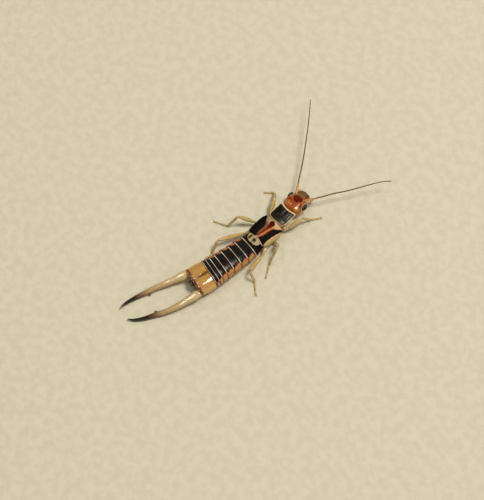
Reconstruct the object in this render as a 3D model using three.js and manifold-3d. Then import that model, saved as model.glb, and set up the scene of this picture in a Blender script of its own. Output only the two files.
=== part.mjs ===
// Male shore earwig, life size, standing on its six feet with its forceps laid on the floor.
//
// Millimetres, +Z up. The head points to -Y, the forceps to +Y, and +X is the animal's left.
// Places on the body are given in body coordinates: x to the animal's left, y back along the
// midline from the hind edge of the wing covers, and z up from the floor. The midline itself
// lies on a gentle arc, because the animal curves to its left.

import * as THREE from 'three';
import { mergeVertices } from 'three/addons/utils/BufferGeometryUtils.js';
import Module from 'manifold-3d';

const { degToRad, lerp, smoothstep, clamp } = THREE.MathUtils;

// Stance
const BEND_PER_MM = degToRad(1.0);
const MIDLINE_DRIFT = [
  [-9, 0.25], [-2, 0.22], [1.5, 0], [5, -0.15], [8, -0.3], [11, -0.28], [21, -0.12],
];
const HEAD_TURN = degToRad(4.0);
const GAP = 0.12;
const WELD = 1e-4;

// Places along the midline
const HEAD_REAR = -6.25;
const PRONOTUM_FRONT = -6.1;
const PROTHORAX_FRONT = -5.4;
const PRONOTUM_REAR = -3.6;
const TEGMEN_FRONT = -3.45;
const TEGMEN_REAR = -0.05;
const WING_TIP_REAR = 1.0;
const ABDOMEN_JOINTS = [0.0, 0.55, 1.45, 2.75, 3.9, 5.15, 6.25, 7.05, 7.6, 8.1, 10.55];
const FORCEPS_ROOT = 10.7;

// Head
const HEAD_LENGTH = 2.9;
const EYE_PLACE = new THREE.Vector3(1.38, -1.85, 1.78);
const EYE_RADII = new THREE.Vector3(0.32, 0.48, 0.42);
const EYE_SEAT = 0.09;
const SOCKET_PLACE = new THREE.Vector3(0.68, -2.45, 1.86);
const SOCKET_RADIUS = 0.28;
const LABRUM_LENGTH = 0.7;
const LABRUM_HALF_WIDTH = 0.6;

// Thorax and folded wings
const PRONOTUM_HALF_WIDTH = 1.4;
const PRONOTUM_THICKNESS = 0.3;
const PRONOTUM_CROWN = 2.62;
const TEGMEN_HALF_WIDTH = 1.85;
const TEGMEN_CROWN = 2.6;
const TEGMEN_LOW_EDGE = 1.35;
const TEGMEN_THICKNESS = 0.28;
const MIDLINE_SEAM = 0.06;
const WING_TIP_HALF_WIDTH = 1.15;

// Abdomen
const RING_BOWS = [[0, 0], [4, 0], [6.2, 0], [8.1, 0.12], [10.55, 0.22]];
const RING_BOW_HEIGHTS = [1.0, 2.5];
const RING_BOW_REACH = 2.4;
const RING_SQUARENESS = 2.5;
const RING_TUCK = 0.06;
const RING_FLARE = 0.02;
const TUBERCLE_COUNT = 12;
const TUBERCLE_RADII = new THREE.Vector3(0.17, 0.14, 0.18);
const TUBERCLE_INSET = 0.12;
const TUBERCLE_SEAT = 0.16;

// Forceps
const FORCEPS_TOOTH_PLACE = 0.56;
const FORCEPS_TOOTH_LENGTH = 0.72;

// Feelers and legs
const ANTENNA_THICKNESS = 0.5;
const FLAGELLUM_SEGMENTS = 27;
const SCAPE_LENGTH = 1.15;
const LEG_ROUNDING = [0.22, 0.42, 0.3];
const CLAW_LENGTH = 0.34;

/** The height, width or depth of a form along its length, smooth through stops of [place, size]. */
function course(stops) {
  const places = stops.map(([place]) => place);
  const sizes = stops.map(([, size]) => size);
  const spline = new THREE.CubicInterpolant(places, sizes, 1, new Float64Array(1));
  return (place) => spline.evaluate(clamp(place, places[0], places.at(-1)))[0];
}

const midlineDrift = course(MIDLINE_DRIFT);

/** The angle between +Y and the midline at a place along the body. */
function heading(y) {
  return BEND_PER_MM * y;
}

/** The point of the model at body coordinates x, y, z. */
function bodyPoint(x, y, z) {
  const radius = 1 / BEND_PER_MM;
  const turn = heading(y);
  const aside = x + midlineDrift(y);
  return new THREE.Vector3(
    radius * (1 - Math.cos(turn)) + aside * Math.cos(turn),
    radius * Math.sin(turn) - aside * Math.sin(turn),
    z,
  );
}

/** A group that stands on the midline and is turned with it. */
function section(y, extraTurn = 0) {
  const group = new THREE.Group();
  group.position.copy(bodyPoint(0, y, 0));
  group.rotation.z = extraTurn - heading(y);
  return group;
}

/** The volume inside a closed surface, negative if its faces point inward. */
function signedVolume(shape) {
  const vertices = shape.attributes.position;
  const corners = [0, 1, 2].map(() => new THREE.Vector3());
  let volume = 0;
  for (let i = 0; i < shape.index.count; i += 3) {
    corners.forEach((corner, k) => corner.fromBufferAttribute(vertices, shape.index.getX(i + k)));
    volume += corners[0].dot(corners[1].cross(corners[2])) / 6;
  }
  return volume;
}

/** Welds a shape's seams, drops faces without area and turns all faces outward. */
function closed(shape) {
  shape.deleteAttribute('normal');
  shape.deleteAttribute('uv');
  const welded = mergeVertices(shape, WELD);
  const kept = [];
  for (let i = 0; i < welded.index.count; i += 3) {
    const face = [0, 1, 2].map((k) => welded.index.getX(i + k));
    if (new Set(face).size === 3) {
      kept.push(face);
    }
  }
  welded.setIndex(kept.flat());
  if (signedVolume(welded) < 0) {
    welded.setIndex(kept.flatMap(([a, b, c]) => [a, c, b]));
  }
  welded.computeVertexNormals();
  return welded;
}

/**
 * A closed form bent from a cylinder. place(along, angle, fill) gives the point at a part of the
 * length, an angle round the axis, and fill 1 on the skin or 0 in the middle of an end.
 */
function loft(sides, steps, place) {
  const shape = new THREE.CylinderGeometry(1, 1, 1, sides, steps);
  const vertices = shape.attributes.position;
  for (let i = 0; i < vertices.count; i += 1) {
    const across = vertices.getX(i);
    const upward = vertices.getZ(i);
    const along = 0.5 - vertices.getY(i);
    const point = place(along, Math.atan2(upward, across), Math.hypot(across, upward));
    vertices.setXYZ(i, point.x, point.y, point.z);
  }
  return closed(shape);
}

/**
 * A closed plate bent from a flat box. place(across, along, top) gives the point for across from
 * -1 to 1, along from 0 to 1, and top 1 on the upper face or 0 on the lower one.
 */
function plate(acrossSteps, alongSteps, place) {
  const shape = new THREE.BoxGeometry(2, 1, 1, acrossSteps, alongSteps, 1);
  const vertices = shape.attributes.position;
  for (let i = 0; i < vertices.count; i += 1) {
    const point = place(vertices.getX(i), vertices.getY(i) + 0.5, vertices.getZ(i) + 0.5);
    vertices.setXYZ(i, point.x, point.y, point.z);
  }
  return closed(shape);
}

/** A point on a squarish oval between two heights, widest at part of the way up. */
function ovalPoint(angle, { halfWidth, low, high, squareness = 2.4, widestAt = 0.45 }) {
  const power = 2 / squareness;
  const middle = lerp(low, high, widestAt);
  const reach = Math.sin(angle) > 0 ? high - middle : middle - low;
  return {
    x: halfWidth * Math.sign(Math.cos(angle)) * Math.abs(Math.cos(angle)) ** power,
    z: middle + reach * Math.sign(Math.sin(angle)) * Math.abs(Math.sin(angle)) ** power,
    middle,
  };
}

/** A trunk-like form along Y, with an oval section given by sizes(along). */
function trunk(sides, steps, yAt, sizes) {
  return loft(sides, steps, (along, angle, fill) => {
    const oval = ovalPoint(angle, sizes(along));
    const x = fill * oval.x;
    const z = lerp(oval.middle, oval.z, fill);
    return new THREE.Vector3(x, yAt(along, x, z), z);
  });
}

/** A limb along part of a curve. Where it would go under the floor, it rests on a small flat. */
function limb({ curve, from = 0, to = curve.getLength(), side, width, height = width, sides, steps }) {
  const whole = curve.getLength();
  return loft(sides, steps, (along, angle, fill) => {
    const part = clamp(lerp(from, to, along) / whole, 0, 1);
    const heart = curve.getPointAt(part);
    const ahead = curve.getTangentAt(part);
    const across = side.clone().addScaledVector(ahead, -side.dot(ahead)).normalize();
    const upward = new THREE.Vector3().crossVectors(across, ahead);
    heart.addScaledVector(across, fill * width(along) * Math.cos(angle));
    heart.addScaledVector(upward, fill * height(along) * Math.sin(angle));
    heart.z = Math.max(heart.z, 0);
    return heart;
  });
}

/** A path of straight stretches with rounded corners, and how far along it each corner lies. */
function bentPath(points, rounding) {
  const curve = new THREE.CurvePath();
  const corners = [];
  let start = points[0];
  for (let i = 1; i < points.length - 1; i += 1) {
    const corner = points[i];
    const [into, out] = [points[i - 1], points[i + 1]].map((end) => {
      const way = end.clone().sub(corner).normalize();
      return corner.clone().addScaledVector(way, rounding[i - 1]);
    });
    const bend = new THREE.QuadraticBezierCurve3(into, corner, out);
    curve.add(new THREE.LineCurve3(start, into));
    corners.push(curve.getLength() + bend.getLength() / 2);
    curve.add(bend);
    start = out;
  }
  curve.add(new THREE.LineCurve3(start, points.at(-1)));
  return { curve, corners };
}

/** Half a thickness that swells from its ends, so that both ends are rounded off. */
function roundedEnds(thickness, share = 0.08) {
  return (along) => {
    const edge = clamp(Math.min(along, 1 - along) / share, 0, 1);
    return (thickness(along) / 2) * Math.sqrt(1 - 0.55 * (1 - edge) ** 2);
  };
}

/** A short tapering spike between two points, for claws, teeth and pegs. */
function spike(root, tip, radius, sides = 6) {
  const curve = new THREE.LineCurve3(root, tip);
  const way = tip.clone().sub(root).normalize();
  const side = Math.abs(way.z) > 0.9 ? new THREE.Vector3(1, 0, 0) : new THREE.Vector3(0, 0, 1);
  const width = (along) => radius * lerp(1, 0.25, along ** 1.4);
  return limb({ curve, side, width, sides, steps: 2 });
}

/** A ball or egg with its middle at a place. */
function egg(place, radii, acrossSteps = 12, upSteps = 8) {
  const shape = new THREE.SphereGeometry(1, acrossSteps, upSteps);
  shape.scale(radii.x, radii.y, radii.z);
  shape.translate(place.x, place.y, place.z);
  return closed(shape);
}

const kernel = await Module();
kernel.setup();

/** A shape as a solid that can be joined and cut. */
function toSolid(shape) {
  return new kernel.Manifold(new kernel.Mesh({
    numProp: 3,
    vertProperties: Float32Array.from(shape.attributes.position.array),
    triVerts: Uint32Array.from(shape.index.array),
  }));
}

/** The largest closed piece of a solid, as a shape. */
function fromSolid(solid) {
  const pieces = solid.decompose().sort((a, b) => b.volume() - a.volume());
  const mesh = pieces[0].getMesh();
  const shape = new THREE.BufferGeometry();
  shape.setAttribute('position', new THREE.BufferAttribute(mesh.vertProperties, 3));
  shape.setIndex(new THREE.BufferAttribute(mesh.triVerts, 1));
  shape.computeVertexNormals();
  return shape;
}

/** Several shapes fused into one. */
function fused(shapes) {
  const whole = shapes.map(toSolid).reduce((joined, next) => joined.add(next));
  return fromSolid(whole);
}

/** A shape with others cut out of it. */
function hollowed(shape, cutters) {
  const rest = cutters.map(toSolid).reduce((solid, cutter) => solid.subtract(cutter), toSolid(shape));
  return fromSolid(rest);
}

/** The same point on the animal's left or right side. */
function onSide(point, side) {
  return new THREE.Vector3(point.x * side, point.y, point.z);
}

const SIDES = [['left', 1], ['right', -1]];

const COLOURS = {
  amber: 0xb5702e,
  redBrown: 0x5a1a08,
  black: 0x160d09,
  eye: 0x0c0a09,
  cream: 0xd2bb94,
  tan: 0xb98550,
  gold: 0xb88240,
  straw: 0xcbae6c,
  membrane: 0xd8cbb2,
  horn: 0x8c6040,
};

/** A named part of the animal with a finish of its own. */
function part(name, shape, colour, roughness = 0.4) {
  const finish = new THREE.MeshStandardMaterial({ color: colour, roughness, metalness: 0 });
  const mesh = new THREE.Mesh(shape, finish);
  mesh.name = name;
  return mesh;
}

/** The head capsule, with hollows where the eyes sit and a raised ring for each feeler. */
function makeHead() {
  const halfWidth = course([
    [0, 0.8], [0.07, 1.12], [0.18, 1.36], [0.42, 1.45], [0.62, 1.46], [0.78, 1.26], [0.9, 0.98], [1, 0.76],
  ]);
  const high = course([[0, 2.06], [0.12, 2.34], [0.35, 2.48], [0.62, 2.46], [0.82, 2.2], [1, 1.78]]);
  const low = course([[0, 0.96], [0.15, 0.72], [0.5, 0.6], [0.8, 0.74], [1, 0.96]]);
  const lobeDepth = 0.07;
  const capsule = trunk(28, 16, (along) => -HEAD_LENGTH * along, (along) => ({
    halfWidth: halfWidth(along),
    low: low(along),
    high: high(along) - lobeDepth * (1 - smoothstep(along, 0.25, 0.5)),
  }));
  const lobes = SIDES.map(([, side]) => egg(
    new THREE.Vector3(0.62 * side, -0.72, 1.55), new THREE.Vector3(0.66, 0.64, 0.92), 14, 10,
  ));
  const sockets = SIDES.map(([, side]) => egg(
    onSide(SOCKET_PLACE, side), new THREE.Vector3(SOCKET_RADIUS, SOCKET_RADIUS, SOCKET_RADIUS), 10, 8,
  ));
  const seats = SIDES.map(([, side]) => egg(
    onSide(EYE_PLACE, side), EYE_RADII.clone().addScalar(EYE_SEAT), 12, 8,
  ));
  return hollowed(fused([capsule, ...lobes, ...sockets]), seats);
}

/** The upper lip, a rounded plate that slopes down in front of the face. */
function makeLabrum() {
  const front = -HEAD_LENGTH - GAP;
  const thickness = 0.26;
  return plate(8, 5, (across, along, top) => {
    const halfWidth = LABRUM_HALF_WIDTH * Math.sqrt(1 - 0.8 * along ** 2.4);
    const crown = 1.74 - 0.3 * along ** 1.5 - 0.12 * across ** 2;
    return new THREE.Vector3(
      halfWidth * across,
      front - LABRUM_LENGTH * along * (1 - 0.12 * across ** 2),
      crown - (1 - top) * thickness * (1 - 0.4 * along),
    );
  });
}

/** One mandible, a hook with a blunt inner tooth, below the upper lip. */
function makeMandible(side) {
  const points = [[0.5, -3.04, 1.12], [0.66, -3.3, 1.1], [0.52, -3.6, 1.06], [0.12, -3.8, 1.02]];
  const curve = new THREE.CatmullRomCurve3(points.map(([x, y, z]) => new THREE.Vector3(x * side, y, z)));
  const hook = limb({
    curve,
    side: new THREE.Vector3(1, 0, 0),
    width: roundedEnds(course([[0, 0.42], [0.4, 0.4], [0.8, 0.24], [1, 0.1]])),
    height: roundedEnds(course([[0, 0.4], [0.6, 0.3], [1, 0.1]])),
    sides: 8,
    steps: 8,
  });
  const toothRoot = new THREE.Vector3(0.58 * side, -3.48, 1.08);
  const toothTip = new THREE.Vector3(0.26 * side, -3.5, 1.06);
  return fused([hook, spike(toothRoot, toothTip, 0.13)]);
}

/** One jaw feeler, of five short joints. */
function makeMaxillaryPalp(side) {
  const points = [[0.98, -2.78, 0.78], [1.2, -3.1, 0.72], [1.24, -3.5, 0.6], [1.1, -3.95, 0.5]];
  const curve = new THREE.CatmullRomCurve3(points.map(([x, y, z]) => new THREE.Vector3(x * side, y, z)));
  const joints = 4;
  const thickness = course([[0, 0.4], [0.5, 0.42], [1, 0.26]]);
  const pinched = (along) => thickness(along) * (1 - 0.2 * Math.cos(along * joints * Math.PI) ** 8);
  return limb({
    curve,
    side: new THREE.Vector3(1, 0, 0),
    width: roundedEnds(pinched),
    sides: 8,
    steps: 12,
  });
}

/** The lower lip, a plate under the head that ends in two short palps. */
function makeLabium() {
  const back = -1.1;
  const length = 1.75;
  const lip = plate(6, 5, (across, along, top) => new THREE.Vector3(
    0.52 * across * Math.sqrt(1 - 0.5 * (2 * along - 1) ** 4),
    back - length * along,
    0.18 + 0.28 * top + 0.06 * along - 0.05 * across ** 2 * (1 - top),
  ));
  const palps = SIDES.map(([, side]) => {
    const points = [[0.28, -2.6, 0.38], [0.4, -2.95, 0.42], [0.5, -3.3, 0.46], [0.46, -3.62, 0.5]];
    const curve = new THREE.CatmullRomCurve3(points.map(([x, y, z]) => new THREE.Vector3(x * side, y, z)));
    return limb({
      curve,
      side: new THREE.Vector3(1, 0, 0),
      width: roundedEnds(course([[0, 0.3], [0.7, 0.32], [1, 0.22]])),
      sides: 6,
      steps: 6,
    });
  });
  return fused([lip, ...palps]);
}

/** The soft neck between the head and the prothorax. */
function makeNeck() {
  const length = PROTHORAX_FRONT - HEAD_REAR - 2 * GAP;
  return trunk(20, 3, (along) => length * along, (along) => ({
    halfWidth: 0.7 - 0.1 * Math.sin(Math.PI * along),
    low: 1.02,
    high: 1.98,
    squareness: 2.1,
  }));
}

/** The shield over the prothorax, flat-crowned with turned-up side rims and a rounded hind edge. */
function makePronotum() {
  const halfWidth = course([
    [0, 0.9], [0.06, 0.965], [0.3, 0.985], [0.7, 1], [0.86, 0.97], [0.95, 0.88], [1, 0.76],
  ]);
  const length = PRONOTUM_REAR - PRONOTUM_FRONT;
  return plate(12, 10, (across, along, top) => {
    const x = across * halfWidth(along) * PRONOTUM_HALF_WIDTH;
    const reach = x / PRONOTUM_HALF_WIDTH;
    const rim = 0.07 * smoothstep(Math.abs(reach), 0.72, 0.95);
    const crown = PRONOTUM_CROWN - 0.26 * reach ** 2 + rim - 0.1 * (1 - smoothstep(along, 0, 0.15));
    return new THREE.Vector3(
      x,
      length * along - 0.16 * across ** 2 * along,
      crown - (1 - top) * (PRONOTUM_THICKNESS + rim),
    );
  });
}

/** The body under the shield, which carries the front legs. */
function makeProthorax() {
  const length = PRONOTUM_REAR - PROTHORAX_FRONT - GAP;
  const halfWidth = course([[0, 0.78], [0.3, 1.0], [0.8, 1.08], [1, 1.02]]);
  const low = course([[0, 0.98], [0.3, 0.7], [1, 0.66]]);
  return trunk(24, 5, (along) => length * along, (along) => ({
    halfWidth: halfWidth(along),
    low: low(along),
    high: 2.06,
  }));
}

/** The body under the wing covers, which carries the middle and hind legs. */
function makePterothorax() {
  const length = TEGMEN_REAR - PRONOTUM_REAR - GAP;
  const halfWidth = course([[0, 1.05], [0.15, 1.24], [0.6, 1.32], [1, 1.34]]);
  return trunk(24, 6, (along) => length * along, (along) => ({
    halfWidth: halfWidth(along),
    low: 0.62,
    high: 2.08,
    squareness: 2.6,
  }));
}

/** One wing cover: a shell over the side of the thorax, from the midline down to its low edge. */
function makeTegmen(side) {
  const width = course([[0, 0.84], [0.06, 0.93], [0.2, 1], [0.75, 0.98], [0.93, 0.92], [1, 0.84]]);
  const length = TEGMEN_REAR - TEGMEN_FRONT;
  const power = 2 / 2.7;
  return plate(10, 9, (across, along, top) => {
    const turn = ((across + 1) / 2) * degToRad(90);
    const inward = (1 - top) * TEGMEN_THICKNESS;
    const reach = TEGMEN_HALF_WIDTH * width(along) - MIDLINE_SEAM - inward;
    const rise = TEGMEN_CROWN - TEGMEN_LOW_EDGE - inward - 0.06 * (1 - smoothstep(along, 0, 0.12));
    const x = MIDLINE_SEAM + reach * Math.sin(turn) ** power;
    const skew = -0.2 * smoothstep(x, 0.6, TEGMEN_HALF_WIDTH);
    const z = TEGMEN_LOW_EDGE + rise * Math.cos(turn) ** power;
    return new THREE.Vector3(x * side, length * along + skew, z);
  });
}

/** The leathery tip of one folded hind wing, which shows behind its wing cover. */
function makeWingTip(side) {
  const length = WING_TIP_REAR - TEGMEN_REAR - GAP;
  const width = course([[0, 1], [0.4, 0.97], [0.75, 0.8], [0.92, 0.55], [1, 0.3]]);
  return plate(6, 6, (across, along, top) => {
    const part = (across + 1) / 2;
    const x = MIDLINE_SEAM + (WING_TIP_HALF_WIDTH * width(along) - MIDLINE_SEAM) * part;
    const sag = 0.16 * (x / WING_TIP_HALF_WIDTH) ** 2;
    return new THREE.Vector3(x * side, length * along, 2.12 + 0.2 * along + 0.25 * top - sag);
  });
}

const abdomenHalfWidth = course([[0, 1.5], [1.4, 1.78], [4, 1.92], [8, 2.14], [9.6, 2.22], [10.6, 2.08]]);
const abdomenHigh = course([
  [0, 1.94], [1.4, 2.18], [3, 2.42], [6, 2.56], [8.5, 2.64], [9.8, 2.56], [10.6, 2.3],
]);
const abdomenLow = course([[0, 0.62], [1.4, 0.48], [4, 0.38], [8, 0.34], [9.8, 0.42], [10.6, 0.62]]);

const ringBowSize = course(RING_BOWS);

/** How far back the edge of a ring at y bows, most at the top of the midline. */
function ringBow(x, y, z) {
  return ringBowSize(y) * smoothstep(z, ...RING_BOW_HEIGHTS) * (1 - (x / RING_BOW_REACH) ** 2);
}

/** The section of the abdomen at a place along the midline, drawn in by a small distance. */
function abdomenSection(y, inset) {
  return {
    halfWidth: abdomenHalfWidth(y) - inset,
    low: abdomenLow(y) + inset,
    high: abdomenHigh(y) - inset,
    squareness: RING_SQUARENESS,
  };
}

/** One ring of the abdomen from its front joint to its hind one, flared at its hind edge. */
function makeRing(front, rear, sides, steps) {
  const length = rear - front - GAP;
  const yAt = (along, x, z) => length * along + ringBow(x, lerp(front, rear, along), z);
  return trunk(sides, steps, yAt, (along) => {
    const tuck = RING_TUCK * (1 - smoothstep(along, 0, 0.45));
    const flare = RING_FLARE * smoothstep(along, 0.6, 1);
    return abdomenSection(lerp(front, rear, along), tuck - flare);
  });
}

/** The large last ring, with a row of blunt tubercles along its upper hind edge. */
function makeLastRing() {
  const front = ABDOMEN_JOINTS.at(-2);
  const rear = ABDOMEN_JOINTS.at(-1);
  const ring = makeRing(front, rear, 32, 7);
  const tubercles = [];
  for (let i = 0; i < TUBERCLE_COUNT; i += 1) {
    const angle = lerp(degToRad(14), degToRad(166), i / (TUBERCLE_COUNT - 1));
    const oval = ovalPoint(angle, abdomenSection(rear, TUBERCLE_INSET));
    const y = rear - front - GAP - TUBERCLE_SEAT + ringBow(oval.x, rear, oval.z);
    tubercles.push(egg(new THREE.Vector3(oval.x, y, oval.z), TUBERCLE_RADII, 8, 6));
  }
  return fused([ring, ...tubercles]);
}

/** The small shield between the roots of the forceps. */
function makePygidium() {
  return trunk(12, 4, (along) => 0.55 * along, (along) => ({
    halfWidth: 0.42 - 0.2 * along ** 2,
    low: 1.15 + 0.15 * along,
    high: 2.0 - 0.3 * along ** 2,
  }));
}

/** One forceps arm: stout at its root, bowed out, laid on the floor and hooked in at its tip. */
function makeForceps(side) {
  const points = [
    [1.6, FORCEPS_ROOT, 1.38], [1.82, 12.2, 1.05], [1.98, 14.0, 0.68], [1.92, 15.8, 0.42],
    [1.78, 17.3, 0.33], [1.62, 18.6, 0.31], [1.38, 19.7, 0.33], [1.05, 20.5, 0.4], [0.66, 21.1, 0.5],
  ];
  const curve = new THREE.CatmullRomCurve3(points.map(([x, y, z]) => bodyPoint(x * side, y, z)));
  const width = course([
    [0, 1.16], [0.06, 1.18], [0.2, 0.96], [0.35, 0.84], [0.55, 0.78], [0.75, 0.6], [0.9, 0.38], [1, 0.1],
  ]);
  const height = course([
    [0, 1.1], [0.08, 1.12], [0.3, 0.86], [0.55, 0.74], [0.75, 0.6], [0.9, 0.38], [1, 0.1],
  ]);
  const arm = limb({
    curve,
    side: new THREE.Vector3(1, 0, 0),
    width: roundedEnds(width, 0.02),
    height: roundedEnds(height, 0.02),
    sides: 12,
    steps: 24,
  });
  const toothRoot = curve.getPointAt(FORCEPS_TOOTH_PLACE);
  const ahead = curve.getTangentAt(FORCEPS_TOOTH_PLACE);
  const inward = new THREE.Vector3(ahead.y, -ahead.x, 0).normalize().multiplyScalar(-side);
  const toothTip = toothRoot.clone().addScaledVector(inward, FORCEPS_TOOTH_LENGTH);
  toothTip.addScaledVector(ahead, 0.15);
  return fused([arm, spike(toothRoot, toothTip, 0.3, 8)]);
}

// The feelers, as points in body coordinates from the end of the first joint out to the tip
const ANTENNA_POINTS = {
  left: [[1.95, -10.7, 2.15], [3.05, -13.0, 2.3], [4.4, -15.85, 2.5], [5.75, -19.0, 2.7], [7.2, -22.6, 2.9]],
  right: [
    [-2.1, -10.6, 2.15], [-3.15, -12.0, 2.25], [-4.55, -13.5, 2.4],
    [-6.05, -15.2, 2.6], [-7.55, -16.7, 2.75], [-8.65, -17.4, 2.9],
  ],
};

/** The stout first joint and the beaded, tapering lash of one feeler. */
function makeAntenna(name, socket) {
  const beyond = ANTENNA_POINTS[name].map((place) => bodyPoint(...place));
  const curve = new THREE.CatmullRomCurve3([socket, ...beyond]);
  const side = new THREE.Vector3(1, 0, 0);
  const root = SOCKET_RADIUS + GAP;
  const scape = limb({
    curve,
    from: root,
    to: root + SCAPE_LENGTH,
    side,
    width: roundedEnds(course([[0, 0.36], [0.4, 0.5], [1, 0.52]]), 0.15),
    sides: 8,
    steps: 6,
  });
  const thickness = course([
    [0, ANTENNA_THICKNESS], [0.8, ANTENNA_THICKNESS * 0.9], [1, ANTENNA_THICKNESS * 0.5],
  ]);
  const beaded = (along) => {
    const bead = Math.abs(Math.sin(Math.PI * along * FLAGELLUM_SEGMENTS));
    return (thickness(along) / 2) * lerp(0.84, 1, bead);
  };
  const flagellum = limb({
    curve,
    from: root + SCAPE_LENGTH + GAP,
    side,
    width: beaded,
    sides: 6,
    steps: 2 * FLAGELLUM_SEGMENTS,
  });
  return { scape, flagellum };
}

// Each leg in body coordinates: hip, trochanter, knee, ankle and toe
const LEGS = {
  leg_front_left: [
    [1.14, -4.2, 0.98], [1.64, -4.2, 1.0], [2.65, -6.35, 1.95], [3.75, -7.45, 0.24], [4.65, -6.5, 0.2],
  ],
  leg_front_right: [
    [-1.14, -4.2, 0.98], [-1.64, -4.3, 1.0], [-2.2, -6.6, 1.95], [-2.75, -7.85, 0.24], [-3.55, -8.9, 0.2],
  ],
  leg_middle_left: [
    [1.46, -2.1, 0.9], [2.12, -1.9, 0.9], [3.95, -0.1, 2.45], [4.65, 1.45, 0.24], [6.3, 2.55, 0.2],
  ],
  leg_middle_right: [
    [-1.46, -2.1, 0.9], [-2.14, -1.95, 0.9], [-3.05, -1.3, 2.6], [-3.5, 0.55, 0.24], [-4.6, 2.0, 0.2],
  ],
  leg_hind_left: [
    [1.46, -0.6, 0.85], [2.0, 0.4, 0.85], [3.25, 4.5, 1.95], [2.75, 5.85, 0.24], [2.55, 7.7, 0.2],
  ],
  leg_hind_right: [
    [-1.46, -0.6, 0.85], [-1.98, 0.4, 0.85], [-3.04, 3.57, 2.05], [-4.2, 3.5, 0.24], [-5.7, 4.4, 0.2],
  ],
};

/** The thigh with its hip, the shin, and the clawed foot of one leg. */
function makeLeg(places) {
  const points = places.map((place) => bodyPoint(...place));
  const { curve, corners } = bentPath(points, LEG_ROUNDING);
  const [trochanter, knee, ankle] = corners;
  const outward = points[2].clone().sub(points[0]).setZ(0).normalize();
  const side = new THREE.Vector3(-outward.y, outward.x, 0);
  const hip = trochanter / knee;
  const femurWidth = course([
    [0, 0.62], [hip * 0.6, 0.56], [hip * 1.15, 0.5],
    [lerp(hip, 1, 0.25), 0.62], [lerp(hip, 1, 0.6), 0.66], [1, 0.5],
  ]);
  const femur = limb({
    curve, to: knee - GAP / 2, side, width: roundedEnds(femurWidth, 0.06), sides: 10, steps: 14,
  });
  const tibia = limb({
    curve,
    from: knee + GAP / 2,
    to: ankle - GAP / 2,
    side,
    width: roundedEnds(course([[0, 0.5], [0.3, 0.48], [1, 0.5]]), 0.08),
    sides: 8,
    steps: 8,
  });
  const footJoints = 3;
  const footThickness = course([[0, 0.48], [0.6, 0.46], [1, 0.36]]);
  const pinched = (along) => footThickness(along) * (1 - 0.16 * Math.cos(along * footJoints * Math.PI) ** 6);
  const foot = limb({
    curve,
    from: ankle + GAP / 2,
    side,
    width: roundedEnds(pinched),
    sides: 8,
    steps: 9,
  });
  const toe = curve.getPointAt(1);
  const ahead = curve.getTangentAt(1).setZ(0).normalize();
  const across = new THREE.Vector3(-ahead.y, ahead.x, 0);
  const claws = SIDES.map(([, hand]) => {
    const root = toe.clone().addScaledVector(ahead, -0.14).addScaledVector(across, 0.06 * hand);
    const tip = toe.clone().addScaledVector(ahead, CLAW_LENGTH).addScaledVector(across, 0.2 * hand);
    return spike(root, tip.setZ(0.1), 0.11);
  });
  return { femur, tibia, tarsus: fused([foot, ...claws]) };
}

/** The head with its eyes, mouthparts and feelers. */
function addHead(animal) {
  const head = section(HEAD_REAR, HEAD_TURN);
  head.updateMatrix();
  head.add(part('head', makeHead(), COLOURS.amber, 0.3));
  head.add(part('labrum', makeLabrum(), COLOURS.redBrown, 0.35));
  head.add(part('labium', makeLabium(), COLOURS.tan));
  for (const [name, side] of SIDES) {
    head.add(part(`eye_${name}`, egg(onSide(EYE_PLACE, side), EYE_RADII, 12, 8), COLOURS.eye, 0.25));
    head.add(part(`mandible_${name}`, makeMandible(side), COLOURS.redBrown, 0.3));
    head.add(part(`palp_${name}`, makeMaxillaryPalp(side), COLOURS.straw));
    const { scape, flagellum } = makeAntenna(name, onSide(SOCKET_PLACE, side).applyMatrix4(head.matrix));
    animal.add(part(`antenna_${name}_scape`, scape, COLOURS.straw));
    animal.add(part(`antenna_${name}_flagellum`, flagellum, COLOURS.tan, 0.5));
  }
  animal.add(head);
}

/** The neck, the two blocks of the thorax and the folded wings on them. */
function addThorax(animal) {
  const neck = section(HEAD_REAR + GAP);
  neck.add(part('neck', makeNeck(), COLOURS.membrane, 0.5));
  const shield = section(PRONOTUM_FRONT);
  shield.add(part('pronotum', makePronotum(), COLOURS.black, 0.35));
  const front = section(PROTHORAX_FRONT);
  front.add(part('prothorax', makeProthorax(), COLOURS.tan));
  const rear = section(PRONOTUM_REAR);
  rear.add(part('pterothorax', makePterothorax(), COLOURS.tan));
  const covers = section(TEGMEN_FRONT);
  const tips = section(TEGMEN_REAR + GAP);
  for (const [name, side] of SIDES) {
    covers.add(part(`tegmen_${name}`, makeTegmen(side), COLOURS.black, 0.35));
    tips.add(part(`wing_tip_${name}`, makeWingTip(side), COLOURS.cream));
  }
  animal.add(neck, shield, front, rear, covers, tips);
}

/** The ten rings of the abdomen, the pygidium and the forceps. */
function addAbdomen(animal) {
  const lastIndex = ABDOMEN_JOINTS.length - 2;
  for (let i = 0; i <= lastIndex; i += 1) {
    const isLast = i === lastIndex;
    const ring = section(ABDOMEN_JOINTS[i]);
    const shape = isLast ? makeLastRing() : makeRing(ABDOMEN_JOINTS[i], ABDOMEN_JOINTS[i + 1], 26, 3);
    const name = `abdomen_${String(i + 1).padStart(2, '0')}`;
    ring.add(part(name, shape, isLast ? COLOURS.gold : COLOURS.black, 0.3));
    animal.add(ring);
  }
  const tail = section(FORCEPS_ROOT + 0.1);
  tail.add(part('pygidium', makePygidium(), COLOURS.tan));
  animal.add(tail);
  for (const [name, side] of SIDES) {
    animal.add(part(`forceps_${name}`, makeForceps(side), COLOURS.horn, 0.25));
  }
}

/** The six legs. */
function addLegs(animal) {
  for (const [name, places] of Object.entries(LEGS)) {
    for (const [joint, shape] of Object.entries(makeLeg(places))) {
      animal.add(part(`${name}_${joint}`, shape, COLOURS.straw, 0.45));
    }
  }
}

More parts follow.
